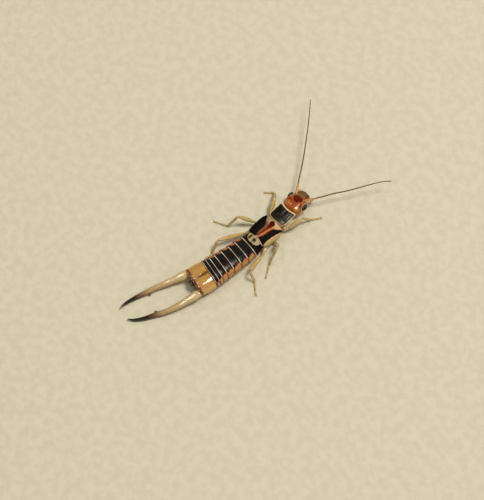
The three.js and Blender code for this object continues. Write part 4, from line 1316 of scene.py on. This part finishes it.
def pronotum_form():
    """The shield as one sheet, which knows how far each point is from its rims."""
    share, across = net(np.linspace(0, 1, 72), np.linspace(-1, 1, 84))
    x = across * pronotum_width(share) * PRONOTUM_HALF_WIDTH
    reach = np.abs(x) / PRONOTUM_HALF_WIDTH
    rim = 0.07 * smooth(reach, 0.76, 0.97)
    bulges = 0.06 * (hill(x, 0.52, 0.34) + hill(x, -0.52, 0.34)) * hill(share, 0.3, 0.2)
    groove = -0.05 * hill(x, 0.0, 0.05) * (1 - smooth(share, 0.45, 0.62)) * smooth(share, 0.02, 0.1)
    furrow = -0.04 * hill(share, 0.58 + 0.08 * reach, 0.05) * (1 - smooth(reach, 0.45, 0.8))
    dent = -0.03 * (hill(x, 0.85, 0.12) + hill(x, -0.85, 0.12)) * hill(share, 0.5, 0.2)
    ends = -0.12 * (1 - smooth(share, 0, 0.16)) - 0.05 * smooth(share, 0.93, 1.0)
    z = PRONOTUM_CROWN - 0.26 * reach ** 2 + rim + bulges + groove + furrow + dent + ends
    length = PRONOTUM_REAR - PRONOTUM_FRONT
    corners = 0.24 * smooth(np.abs(across), 0.2, 1.0) * (1 - smooth(share, 0, 0.4))
    y = length * share - 0.16 * across ** 2 * share - corners
    return grid_form(np.stack([x, y, z], -1), section(PRONOTUM_FRONT), PRONOTUM_FRONT, wrap=False,
                     inside=(0, 1.2, 1.0), side=(1 - np.abs(across)) * PRONOTUM_HALF_WIDTH,
                     front=share * length, rear=(1 - share) * length)


def paint_pronotum(tree, place):
    """Black with a faint pale midline in front, and cream rims with a brown fringe."""
    x, y, _ = tree.axes(place)
    ragged = tree.ragged(place, 5.0, 0.07)
    side, front, rear = (tree.plus(tree.field(key), ragged) for key in ("side", "front", "rear"))
    black = tone(tree, place, (10, 7, 5), (50, 42, 32), 0.3, 0.7)
    line = tree.times(tree.step(tree.math("ABSOLUTE", x), 0.07, 0.02), tree.step(y, -4.9, -5.2))
    lined = tree.over(black, line, (150, 122, 104), 0.5)
    rim = tree.chain("MAXIMUM", [tree.step(side, 0.12, 0.07), tree.step(front, 0.24, 0.16),
                                 tree.step(rear, 0.09, 0.04)])
    fringe = tree.math("MAXIMUM", tree.step(side, 0.26, 0.16), tree.step(front, 0.34, 0.22))
    return tree.over(tree.over(lined, fringe, (82, 44, 22), 0.6), rim, (222, 196, 150))


PRONOTUM = cuticle("shield cuticle", paint_pronotum, gloss=0.32, depth=0.04, coat=0.04, pit_size=0.06,
                   pits=0.7, crease=0.22, bump=0.014, shine=0.1)
settle(make_piece("shield", [pronotum_form()], PRONOTUM, plate_edges(0.07)), "shell_black", "pronotum")

# %% [markdown]
# ## The head
# The head capsule is one smooth, closed form. Two domes lie at the back at both sides of the
# coronal suture, which forks in front of them into the frontal arc; the face inside the arc is a
# dark red, slightly raised disc. The front end is rounded over into the mouth. The right dome has a
# small, flatter crown, which gathers the light into one compact glint.
# %% Head capsule
HEAD_LENGTH = 2.9
head_half_width = course([(0, 0.8), (0.07, 1.12), (0.18, 1.36), (0.42, 1.45), (0.62, 1.42), (0.78, 1.24),
                          (0.9, 0.98), (1, 0.76)])
head_high = course([(0, 2.06), (0.12, 2.34), (0.35, 2.48), (0.62, 2.46), (0.82, 2.2), (1, 1.78)])
head_low = course([(0, 0.96), (0.15, 0.72), (0.5, 0.6), (0.8, 0.74), (1, 0.96)])
FACE_MIDDLE, FACE_RADIUS = (-0.02, -2.0), 0.74
EYE_SEAT = 0.05
DOMES = {"left": (0.72, -0.66), "right": (-0.82, -0.65)}
CROWN_MIDDLE, CROWN_HEIGHT, CROWN_LEAN, CROWN_SPREAD = (-0.776, -0.757), 2.41, (0.245, -0.028), 0.36
FAR = 9.0


def head_grid():
    """The rows of the head capsule, and how far each point is from an eye, in sizes of the eye."""
    share, angle = net(np.linspace(0, 1, 72) ** 0.92, round_angles(120))
    lobe_depth = 0.07 * (1 - smooth(share, 0.25, 0.5))
    x, z = oval(angle, head_half_width(share), head_low(share), head_high(share) - lobe_depth, 2.6)
    y = -HEAD_LENGTH * share
    on_top = smooth(np.sin(angle), 0.15, 0.55)
    lobes = sum(0.12 * hill(x, aside, 0.42) * hill(y, back, 0.4) for aside, back in DOMES.values())
    suture = -0.07 * hill(x, 0.02, 0.05) * (1 - smooth(-y, 1.05, 1.3)) * smooth(-y, 0.02, 0.2)
    valley = -0.025 * hill(x, 0.02, 0.16) * (1 - smooth(-y, 0.9, 1.3))
    from_face = np.hypot(x - FACE_MIDDLE[0], y - FACE_MIDDLE[1])
    arc = -0.05 * hill(from_face, FACE_RADIUS, 0.05) * (1 - smooth(-y, 2.1, 2.5))
    face = 0.035 * (1 - smooth(from_face, 0.2, 0.7)) - 0.05 * hill(x, 0, 0.5) * hill(y, -2.55, 0.12)
    z = z + on_top * (lobes + suture + valley + arc + face)
    aside, back = x - CROWN_MIDDLE[0], y - CROWN_MIDDLE[1]
    crown = CROWN_HEIGHT + CROWN_LEAN[0] * aside + CROWN_LEAN[1] * back
    z = z + on_top * 0.9 * hill(np.hypot(aside, back), 0.0, CROWN_SPREAD) * (crown - z)
    orbit = np.full(x.shape, FAR)
    for name, hand in SIDES:
        away = (np.stack([x, y, z], -1) - EYES[name]) / (EYE_RADII + EYE_SEAT)
        depth = np.linalg.norm(away, axis=-1)
        x = x - hand * 0.09 * hill(depth, 0.0, 1.0) + hand * 0.03 * hill(depth, 1.25, 0.2)
        orbit = np.minimum(orbit, depth)
    grid = np.stack([x, y, z], -1)
    opening = closing_rings(grid[0], np.array([0, 0.0, 1.5]), [
        (1 - 0.9 * part, 0.05 * part) for part in np.linspace(1, 0.1, 6)])
    closing = closing_rings(grid[-1], np.array([0, -HEAD_LENGTH, 1.4]), [
        (math.cos(part * math.pi / 2 * 0.96), -HEAD_LENGTH - 0.16 * math.sin(part * math.pi / 2))
        for part in np.linspace(0.1, 1, 9)])
    orbits = [np.full(opening.shape[:2], FAR), orbit, np.full(closing.shape[:2], FAR)]
    return np.concatenate([opening, grid, closing]), np.concatenate(orbits)


def paint_head(tree, place):
    """Amber with orange domes, partly painted light and more on the right; the face dark red inside a rosy
    arc; tan underneath.
    """
    x, y, z = tree.axes(place)
    flat = tree.vector(x, y)
    amber = tone(tree, place, (164, 84, 26), (128, 52, 12), 0.6, 0.6)
    domes = tree.over(amber, tree.step(y, -0.45, -0.05), (150, 72, 24))
    # The orange spots on the domes are partly their own colour and partly painted light, stronger on the
    # right dome.
    for dome, strength in (("left", 0.35), ("right", 0.75)):
        dome_colour_and_painted_light = soft_spot(tree, flat, DOMES[dome], (0.34, 0.34), 0.7)
        domes = tree.over(domes, dome_colour_and_painted_light, (208, 146, 74), strength)
    cross = tree.times(tree.step(y, -0.95, -1.25), tree.step(y, -1.8, -1.4))
    brow = tree.over(domes, cross, (126, 38, 8), 0.75)
    away = tree.vector_math("DISTANCE", flat, (*FACE_MIDDLE, 0))
    reach = tree.plus(away, tree.ragged(place, 3.0, 0.1, 2.0))
    face_colour = tree.over(colour(78, 16, 1), tree.noise(place, 2.2, 3.0), (104, 30, 2))
    face = tree.mix(tree.step(reach, 0.76, 0.66), brow, face_colour)
    arc = tree.times(tree.step(reach, 0.66, 0.72), tree.step(reach, 0.82, 0.76), tree.step(y, -2.2, -1.9))
    lined = tree.over(face, arc, (200, 104, 66), 0.6)
    suture = tree.times(tree.step(tree.math("ABSOLUTE", x), 0.07, 0.02), tree.step(y, -1.25, -1.1))
    seamed = tree.over(lined, suture, (116, 46, 14), 0.6)
    orbited = tree.over(seamed, tree.step(tree.field("orbit"), 1.3, 1.12), (226, 186, 150), 0.8)
    above = tree.mix(tree.step(z, 1.5, 1.9), colour(196, 142, 80), orbited)
    return tree.over(above, tree.step(y, -2.62, -2.8), (134, 88, 40))


def polish(tree, place):
    """The domes are glossier than the brow and the face."""
    return tree.times(tree.step(tree.axes(place)[1], -1.1, -0.85), 0.7)


HEAD = cuticle("head cuticle", paint_head, gloss=0.13, depth=0.1, coat=polish, pit_size=0.1, pits=0.25,
               crease=0.6, bump=0.003, shine=0.1)
head_points, orbit = head_grid()
head_capsule = make_piece("head_capsule", [grid_form(head_points, in_head, orbit=orbit)], HEAD)
settle(head_capsule, "shell_amber", "head")

# %% [markdown]
# ## The compound eyes
# An insect's eye is a dome of hundreds of tiny lenses. A geometry tree makes them: the cells of a
# finely divided ball, each raised and narrowed at its top, on an egg of the eye's own radii.
# %% Compound eyes
FACET_RISE, FACET_TOP = 0.016, 0.62


def build_facets():
    """The tree that covers an egg-shaped eye with small domed facets."""
    tree = GeometryTree("eye facets", {"Radii": ("Vector", (1, 1, 1)), "Finish": ("Material", None)})
    ball = tree.node("GeometryNodeMeshIcoSphere", {"Radius": 1.0, "Subdivisions": 5}).outputs["Mesh"]
    cells = tree.node("GeometryNodeDualMesh", {0: ball}).outputs[0]
    raised = tree.node("GeometryNodeExtrudeMesh", {"Mesh": cells, "Offset Scale": FACET_RISE}, mode="FACES")
    shrunk = tree.node("GeometryNodeScaleElements", {
        "Geometry": raised.outputs["Mesh"], "Selection": raised.outputs["Top"], "Scale": FACET_TOP,
    }).outputs[0]
    sized = tree.node("GeometryNodeTransform", {"Geometry": shrunk, "Scale": tree.given["Radii"]}).outputs[0]
    return tree.finish(sized, tree.given["Finish"])


def paint_eye(tree, place):
    return tree.over(colour(8, 6, 5), tree.noise(tree.object_place(), 1400.0, 1.0), (24, 17, 14))


EYE = cuticle("eye", paint_eye, gloss=0.2, coat=0.25, pits=0.0, bump=0.0, shine=0.3)
EYE_FACETS = build_facets()
for name, middle in EYES.items():
    holder = add_object("holder", bpy.data.meshes.new("holder"))
    eye = grow(EYE_FACETS, holder, f"compound_eye_{name}", Radii=tuple(EYE_RADII * MM), Finish=EYE)
    points = np.empty(len(eye.data.vertices) * 3)
    eye.data.vertices.foreach_get("co", points)
    placed = in_head(points.reshape(-1, 3) / MM + middle) + CENTRING
    eye.data.vertices.foreach_set("co", (placed * MM).ravel())
    eye.data.update()
    settle(eye, "eye_black", f"eye_{name}")

# %% [markdown]
# ## The mouth
# In front of the face come a brown clypeus and the upper lip, a thin, olive plate with a dark edge.
# The mandibles close below it, two brown hooks with blackened tips and a blunt inner tooth. Two
# pairs of palps reach out at the sides, and a lower lip of three plates closes the mouth from below.
# All of it is placed in the head's own section.
# %% Lips and throat


def lip_plate(front, length, half_width, narrowing, height, crosswise, forward, power=1.0):
    """A rounded plate that runs forward from its front place, and how far each point is from its rim.
    Its height changes crosswise, and forward with a power."""
    share, across = net(np.linspace(0, 1, 22), np.linspace(-1, 1, 30))
    x = half_width * across * np.sqrt(1 - narrowing * share ** 2.4)
    y = front - length * share * (1 - 0.12 * across ** 2)
    z = height + forward * share ** power + crosswise * across ** 2
    return np.stack([x, y, z], -1), np.minimum(1 - share, (1 - np.abs(across)) * 1.3)


def lip_form(plate, inside, rim_share=1.0, rim_least=0.0):
    grid, rim = plate
    return grid_form(grid, in_head, wrap=False, inside=inside, rim=rim * rim_share + rim_least)


def paint_lip(tree, place):
    """Olive with a dark edge, and browner on the clypeus."""
    y = tree.axes(place)[1]
    olive = tone(tree, place, (112, 78, 34), (78, 46, 20), 0.3, 0.6)
    edged = tree.over(olive, tree.step(tree.field("rim"), 0.2, 0.05), (44, 20, 9))
    return tree.over(edged, tree.step(y, -3.02, -2.9), (116, 68, 28), 0.8)


LIP = cuticle("lip cuticle", paint_lip, gloss=0.3, depth=0.15, coat=0.15, pits=0.2, crease=0.3, shine=0.25)
THROAT_LOOK = (206, 164, 102), (168, 118, 64), 0.4, 0.6
THROAT = cuticle("throat cuticle", rimmed(THROAT_LOOK, (0.14, 0.03), (110, 60, 26)), gloss=0.34, depth=0.15,
                 coat=0.2)
clypeus = lip_form(lip_plate(-2.62, 0.42, 0.6, 0.15, 2.04, -0.14, -0.42), (0, -3.0, 0.8), 0.4, 0.5)
labrum = lip_form(lip_plate(-2.98, 0.84, 0.66, 0.8, 1.74, -0.16, -0.34, 1.4), (0, -3.0, 0.8))
settle(make_piece("upper_lip", [clypeus, labrum], LIP, plate_edges(0.06)), "lip_red", "labrum")
throat_forms = [lip_form(lip_plate(*plate), (0, -1.5, 1.4)) for plate in (
    (-0.75, 0.95, 0.62, 0.2, 0.56, 0.1, -0.1),
    (-1.66, 0.72, 0.5, 0.25, 0.44, 0.08, -0.02),
    (-2.34, 0.62, 0.36, 0.5, 0.42, 0.06, 0.08),
)]
settle(make_piece("throat_plates", throat_forms, THROAT, plate_edges(0.07)), "leg_straw", "labium")

# %% [markdown]
# ## Palps and jaws
# Palps are short feelers of a few joints, each a rounded tube that starts where the last one ends.
# The left limb of each pair is written down, and the right one is its mirror image. The joints that
# stand free are kept for the bristles.
# %% Palps and jaws
LIP_PALP = [(0.24, -2.55, 0.4), (0.4, -2.95, 0.42), (0.52, -3.3, 0.46), (0.48, -3.66, 0.5)]
JAW_PALP = [(0.86, -2.62, 0.86), (1.16, -3.0, 0.76), (1.26, -3.5, 0.62), (1.1, -4.0, 0.5)]
MANDIBLE = [(0.56, -2.86, 1.16), (0.74, -3.22, 1.16), (0.62, -3.58, 1.12), (0.1, -3.82, 1.06)]
mandible_width = rounded(course([(0, 0.5), (0.4, 0.44), (0.8, 0.24), (1, 0.07)]), 0.05)
mandible_height = rounded(course([(0, 0.42), (0.6, 0.3), (1, 0.08)]), 0.05)


def mouth_path(points, hand, steps):
    """A smooth path in the head's section on the left side, or mirrored on the right."""
    return curve_path(in_head(np.array(points) * (hand, 1, 1)), steps)


def palp_forms(points, hand, stops, widths):
    """The joints of one palp, each a rounded tube that reaches a little into the next."""
    path = mouth_path(points, hand, 160)
    cuts = np.array(stops) * lengths_along(path)[-1]
    forms = []
    for begin, end, (first, last) in zip(cuts[:-1], cuts[1:], widths):
        width = rounded(course([(0, first * 0.8), (0.25, first), (0.8, last), (1, last * 0.85)]), 0.12, 0.5)
        forms.append(sweep(path, (1, 0, 0), width, begin=begin, end=end + 0.02, rows=20, rim=np.ones_like))
    return forms


def mandible_relief(hand):
    """A tooth and a blunt molar on the inner side of a jaw."""
    def relief(share, angle):
        off = off_inside(angle, hand)
        tooth = 0.55 * hill(share, 0.62, 0.05) * hill(off, 0.0, 0.55)
        molar = 0.3 * hill(share, 0.3, 0.09) * hill(off, 0.0, 0.8)
        return 1 + tooth + molar

    return relief


def paint_jaw(tree, place):
    """Brown, darker along the hook and black at its tip."""
    share = tree.field("share")
    brown = tree.over(colour(146, 74, 30), tree.step(share, 0.2, 0.62), (70, 26, 12))
    return tree.over(brown, tree.step(share, 0.6, 0.85), (22, 12, 9))


JAW = cuticle("jaw horn", paint_jaw, gloss=0.2, coat=0.5, pits=0.2)
palps = []
for name, hand in SIDES:
    forms = palp_forms(LIP_PALP, hand, (0, 0.28, 0.62, 1), ((0.18, 0.2), (0.18, 0.22), (0.2, 0.15)))
    palps += forms[1:]
    settle(make_piece(f"lip_palp_{name}", forms, THROAT), "leg_straw")
for name, hand in SIDES:
    hook = sweep(mouth_path(MANDIBLE, hand, 120), (1, 0, 0), mandible_width, mandible_height, rows=60,
                 columns=28, grow_out=mandible_relief(hand))
    settle(make_piece(f"jaw_{name}", [hook], JAW), "lip_red", f"mandible_{name}")
    forms = palp_forms(JAW_PALP, hand, (0, 0.1, 0.22, 0.48, 0.74, 1),
                       ((0.2, 0.2), (0.18, 0.2), (0.17, 0.22), (0.18, 0.22), (0.2, 0.13)))
    palps += forms[2:]
    settle(make_piece(f"jaw_palp_{name}", forms, THROAT), "leg_straw", f"palp_{name}")

# %% [markdown]
# ## The feelers
# Each feeler turns in a raised ring on the face. Its first joint is long and stout, the second very
# short, and then come some thirty slender beads that grow longer and thinner towards the tip.
# %% Antennae
FEELER_SOCKETS = {"left": (0.68, -2.45, 1.86), "right": (-0.76, -2.38, 1.91)}
FEELER_POINTS = {
    "left": [(1.95, -10.7, 2.15), (3.05, -13.0, 2.3), (4.4, -15.85, 2.5), (5.75, -19.0, 2.7),
             (7.2, -22.6, 2.9)],
    "right": [(-2.1, -10.6, 2.15), (-3.15, -12.0, 2.25), (-4.55, -13.5, 2.4), (-6.05, -15.2, 2.6),
              (-7.55, -16.7, 2.75), (-8.65, -17.4, 2.9)],
}
SCAPE_FROM, SCAPE_TO, PEDICEL_TO = 0.1, 1.42, 1.66
OVERLAP = 0.01
scape_width = rounded(course([(0, 0.24), (0.12, 0.3), (0.7, 0.36), (1, 0.32)]), 0.08, 0.5)
pedicel_width = rounded(course([(0, 0.22), (0.6, 0.27), (1, 0.24)]), 0.2, 0.5)
collar_width = course([(0, 0.5), (0.5, 0.48), (0.85, 0.4), (1, 0.26)])


def paint_antenna(tree, place):
    """Tan, darker towards the tip, and finely mottled."""
    share = tree.field("share")
    tan = tree.over(colour(140, 104, 50), tree.step(share, 0.0, 0.4), (108, 80, 36))
    tan = tree.over(tan, tree.step(share, 0.5, 1.0), (94, 70, 34))
    return tree.over(tan, tree.noise(tree.object_place(), 3000.0), (70, 50, 26), 0.35)


ANTENNA = cuticle("feeler beads", paint_antenna, gloss=0.45, depth=0.05, coat=0.05, pits=0.0, shine=0.25)
SCAPE = cuticle("feeler root", clouded((190, 146, 90), (150, 104, 56), 0.3, 0.5), gloss=0.34, depth=0.15,
                coat=0.1, shine=0.3)
lash_bead = bead_shape("lash bead", round_rows([
    (-0.52, 0.3), (-0.5, 0.34), (-0.4, 0.43), (0.0, 0.5), (0.3, 0.5), (0.42, 0.46), (0.5, 0.34), (0.52, 0.28),
], 12))
for name, place in FEELER_SOCKETS.items():
    socket = in_head(place)
    path = curve_path(np.vstack([socket, [bend(point) for point in FEELER_POINTS[name]]]), 400)
    ahead = unit(path[6] - path[0])
    collar_path = np.array([socket + reach * ahead for reach in (-0.14, -0.02, 0.07)])
    collar = sweep(collar_path, unit(np.cross(ahead, (0, 0, 1))), collar_width, rows=16, columns=28)
    scape = sweep(path, (1, 0, 0), scape_width, begin=SCAPE_FROM, end=SCAPE_TO, rows=40, columns=20)
    pedicel = sweep(path, (1, 0, 0), pedicel_width, begin=SCAPE_TO - OVERLAP, end=PEDICEL_TO, rows=20,
                    columns=18)
    root = make_piece(f"feeler_root_{name}", [collar, scape, pedicel], SCAPE)
    settle(root, "leg_straw", f"antenna_{name}_scape")
    start = PEDICEL_TO - OVERLAP
    lash_path = np.vstack([at_lengths(path, start), path[np.searchsorted(lengths_along(path), start):]])
    lash = grow(BEADS, path_carrier(lash_path), f"feeler_lash_{name}", Bead=lash_bead, Finish=ANTENNA,
                Count=31, First_width=0.23 * MM, Last_width=0.13 * MM, Length_share=1.0, Crowding=1.3)
    settle(lash, "antenna_tan", f"antenna_{name}_flagellum")

# %% [markdown]
# ## The legs
# Every leg has a coxa that fills the gap to the body, a small trochanter, a flattened thigh, a
# slender shin and a foot of three joints with two claws. The joints are separate tubes, rounded and
# darker at their ends, and the last ones rest on the floor.
# %% Legs
LEG_ROUNDING = [0.22, 0.42, 0.3]
LEGS = {  # hip, trochanter, knee, ankle and toe
    "front_left": [(1.14, -4.2, 0.98), (1.64, -4.2, 1.0), (2.65, -6.35, 1.95), (3.75, -7.45, 0.2),
                   (4.65, -6.5, 0.12)],
    "front_right": [(-1.14, -4.2, 0.98), (-1.64, -4.3, 1.0), (-2.2, -6.6, 1.95), (-2.75, -7.85, 0.2),
                    (-3.55, -8.9, 0.12)],
    "middle_left": [(1.46, -2.1, 0.9), (2.12, -1.9, 0.9), (3.95, -0.1, 2.45), (4.65, 1.45, 0.2),
                    (6.3, 2.55, 0.12)],
    "middle_right": [(-1.46, -2.1, 0.9), (-2.14, -1.95, 0.9), (-3.05, -1.3, 2.6), (-3.5, 0.55, 0.2),
                     (-4.6, 2.0, 0.12)],
    "hind_left": [(1.46, -0.6, 0.85), (2.0, 0.4, 0.85), (3.25, 4.5, 1.95), (2.75, 5.85, 0.2),
                  (2.55, 7.7, 0.12)],
    "hind_right": [(-1.46, -0.6, 0.85), (-1.98, 0.4, 0.85), (-3.04, 3.57, 2.05), (-4.2, 3.5, 0.2),
                   (-5.7, 4.4, 0.12)],
}
COXA = [(0, 0.5), (0.4, 0.62), (0.8, 0.46), (1, 0.3)]
TROCHANTER = [(0, 0.28), (0.5, 0.36), (1, 0.3)]
THIGH_WIDTH = [(0, 0.3), (0.2, 0.46), (0.5, 0.6), (0.8, 0.48), (0.95, 0.32), (1, 0.26)]
THIGH_HEIGHT = [(0, 0.26), (0.2, 0.38), (0.5, 0.46), (0.8, 0.4), (0.95, 0.3), (1, 0.26)]
SHIN = [(0, 0.22), (0.1, 0.34), (0.4, 0.36), (0.8, 0.3), (0.95, 0.32), (1, 0.24)]
FOOT_JOINTS = ((0.0, 0.42, 0.24), (0.42, 0.6, 0.22), (0.6, 0.98, 0.2))
CLAW = ((0.0, 0.03, 0.0), (0.16, 0.11, 0.05), (0.32, 0.17, -0.07))
claw_width = course([(0, 0.1), (0.5, 0.07), (1, 0.02)])


def paint_leg(tree, place):
    """Straw, clearer along the middle and brownish at the joints."""
    straw = tone(tree, place, (194, 168, 108), (164, 130, 70), 0.5, 0.6)
    return tree.over(straw, tree.field("joint"), (132, 86, 40), 0.55)


LEG = cuticle("leg cuticle", paint_leg, gloss=0.3, depth=0.2, coat=0.25, pit_size=0.06, pits=0.3, crease=0.4,
              shine=0.4)


def at_ends(share):
    """1 at both ends of a joint and 0 along the middle."""
    return np.clip(1 - np.minimum(share, 1 - share) / 0.07, 0, 1)


def joint_form(path, side, begin, end, width, height=None, rows=30, columns=20):
    """One joint of a leg, a tube with rounded, darker ends."""
    return sweep(path, side, rounded(course(width), 0.07, 0.45),
                 None if height is None else rounded(course(height), 0.07, 0.45),
                 begin=begin, end=end, rows=rows, columns=columns, joint=at_ends)


def level_frame(way):
    """The level part of a way, and the level direction across it."""
    ahead = unit(way * (1, 1, 0))
    return ahead, np.array([-ahead[1], ahead[0], 0])


def leg_forms(places):
    """The forms of one leg: thigh, shin, foot."""
    points = [bend(place) for place in places]
    path, (trochanter, knee, ankle) = bent_path(points, LEG_ROUNDING)
    side = level_frame(points[2] - points[0])[1]
    foot = lengths_along(path)[-1] - ankle
    thigh = [
        joint_form(path, side, -0.25, trochanter - 0.04, COXA),
        joint_form(path, side, trochanter - 0.06, trochanter + 0.22, TROCHANTER, rows=18),
        joint_form(path, side, trochanter + 0.18, knee + 0.02, THIGH_WIDTH, THIGH_HEIGHT, rows=50,
                   columns=26),
    ]
    shin = [joint_form(path, side, knee + 0.02, ankle - 0.02, SHIN, rows=44)]
    tarsus = [joint_form(path, side, ankle + first * foot, ankle + last * foot + 0.02, [
        (0, wide * 0.7), (0.3, wide * 0.9), (0.8, wide), (1, wide * 0.8)], rows=24)
        for first, last, wide in FOOT_JOINTS]
    ahead, across = level_frame(points[4] - points[3])
    toe = points[4] - 0.06 * ahead
    for hand in (1, -1):
        claw = [toe + on * ahead + aside * hand * across + (0, 0, rise) for on, aside, rise in CLAW]
        tarsus.append(sweep(curve_path(claw, 40), (0, 0, 1), claw_width, rows=20, columns=10,
                            joint=lambda share: 0.3 + 0.7 * share))
    return {"femur": thigh, "tibia": shin, "tarsus": tarsus}


bristly = {}
for name, places in LEGS.items():
    joints = leg_forms(places)
    for joint, forms in joints.items():
        settle(make_piece(f"{name}_{joint}", forms, LEG), "leg_straw", f"leg_{name}_{joint}")
    bristly[name] = (joints["femur"][2:] + joints["tibia"] + joints["tarsus"][:3], 26, 0.2)
bristly["palps"] = (palps, 50, 0.12)

# %% [markdown]
# ## Fine bristles
# Short bristles stand on the legs and palps, leaning towards the tip of the limb. Each is a thin,
# slightly bent cone with four sides. A geometry tree scatters them evenly over the limb with a fixed
# seed, turns each between the skin's own normal and the way along the limb, and gives it a tiny
# patch of its own on the unwrap of the limb, where it is rooted. None is set where it would reach
# into the floor.
# %% Bristles
LEAST_GAP, FLOOR_GAP, PATCH = 0.06, 0.02, 0.003


def bristle_shape():
    """A bristle one unit long about z, four-sided and slightly bent."""
    rows = [[(0.5 * (1 - 0.94 * h) * math.cos(a) + 1.6 * h * h, 0.5 * (1 - 0.94 * h) * math.sin(a), h)
             for a in round_angles(4)] for h in np.linspace(0, 1, 5)]
    return bead_shape("bristle", rows)


def build_bristles():
    """The tree that scatters bristles over a limb and leans them along it."""
    tree = GeometryTree("bristles", {
        "Bristle": ("Object", None), "Density": ("Float", 1.0e7), "Length": ("Float", 0.0002),
        "Thickness": ("Float", 0.00002), "Lean": ("Float", 0.8), "Seed": ("Int", 1),
        "Finish": ("Material", None),
    })
    given = tree.given
    height = tree.axes(tree.node("GeometryNodeInputPosition").outputs[0])[2]
    rise = tree.axes(tree.node("GeometryNodeInputNormal").outputs[0])[2]
    end = tree.plus(height, tree.times(rise, given["Length"]))
    spread = tree.node("GeometryNodeDistributePointsOnFaces", {
        "Mesh": given["Geometry"], "Distance Min": LEAST_GAP * MM, "Density Max": given["Density"],
        "Seed": given["Seed"], "Selection": tree.math("GREATER_THAN", end, FLOOR_GAP * MM)},
        distribute_method="POISSON")
    rooted = tree.store(spread.outputs["Points"], "root", tree.named("surface"), "FLOAT_VECTOR")
    leant = tree.vector_math("SCALE", tree.named("ahead"), scale=given["Lean"])
    turned = tree.along(tree.vector_math("ADD", spread.outputs["Normal"], leant))
    varied = tree.node("FunctionNodeRandomValue", {2: 0.6, 3: 1.1, "Seed": given["Seed"]}).outputs[1]
    size = tree.vector(given["Thickness"], given["Thickness"], tree.times(given["Length"], varied))
    coat = tree.repeat(given["Bristle"], rooted, turned, size)
    real = tree.node("GeometryNodeRealizeInstances", {0: coat}).outputs[0]
    patch = tree.vector_math("SCALE", tree.named("surface"), scale=PATCH)
    spot = tree.vector_math("ADD", tree.named("root"), patch)
    return tree.finish(tree.store(real, "OFBake", spot, "FLOAT2", "CORNER"), given["Finish"])


BRISTLES = build_bristles()
BRISTLE = cuticle("bristle", lambda tree, place: colour(150, 108, 58), gloss=0.4, coat=0.0, pits=0.0,
                  bump=0.0)
bristle = bristle_shape()
for number, (name, (forms, density, length)) in enumerate(bristly.items()):
    limb = make_piece("limb", forms, BRISTLE)
    ahead = limb.data.attributes.new("ahead", "FLOAT_VECTOR", "POINT")
    ahead.data.foreach_set("vector", np.vstack([form["ahead"] for form in forms]).ravel())
    coat = grow(BRISTLES, limb, f"{name}_bristles", Bristle=bristle, Density=density * 1e6,
                Length=length * MM, Thickness=0.022 * MM, Lean=0.9, Seed=number, Finish=BRISTLE)
    settle(coat, "leg_straw")

# %% [markdown]
# ## Clearing away
# The shapes that the trees repeated are cleared away.
# %% Clearing away
for helper in (egg_bead, lash_bead, bristle):
    bpy.data.objects.remove(helper)
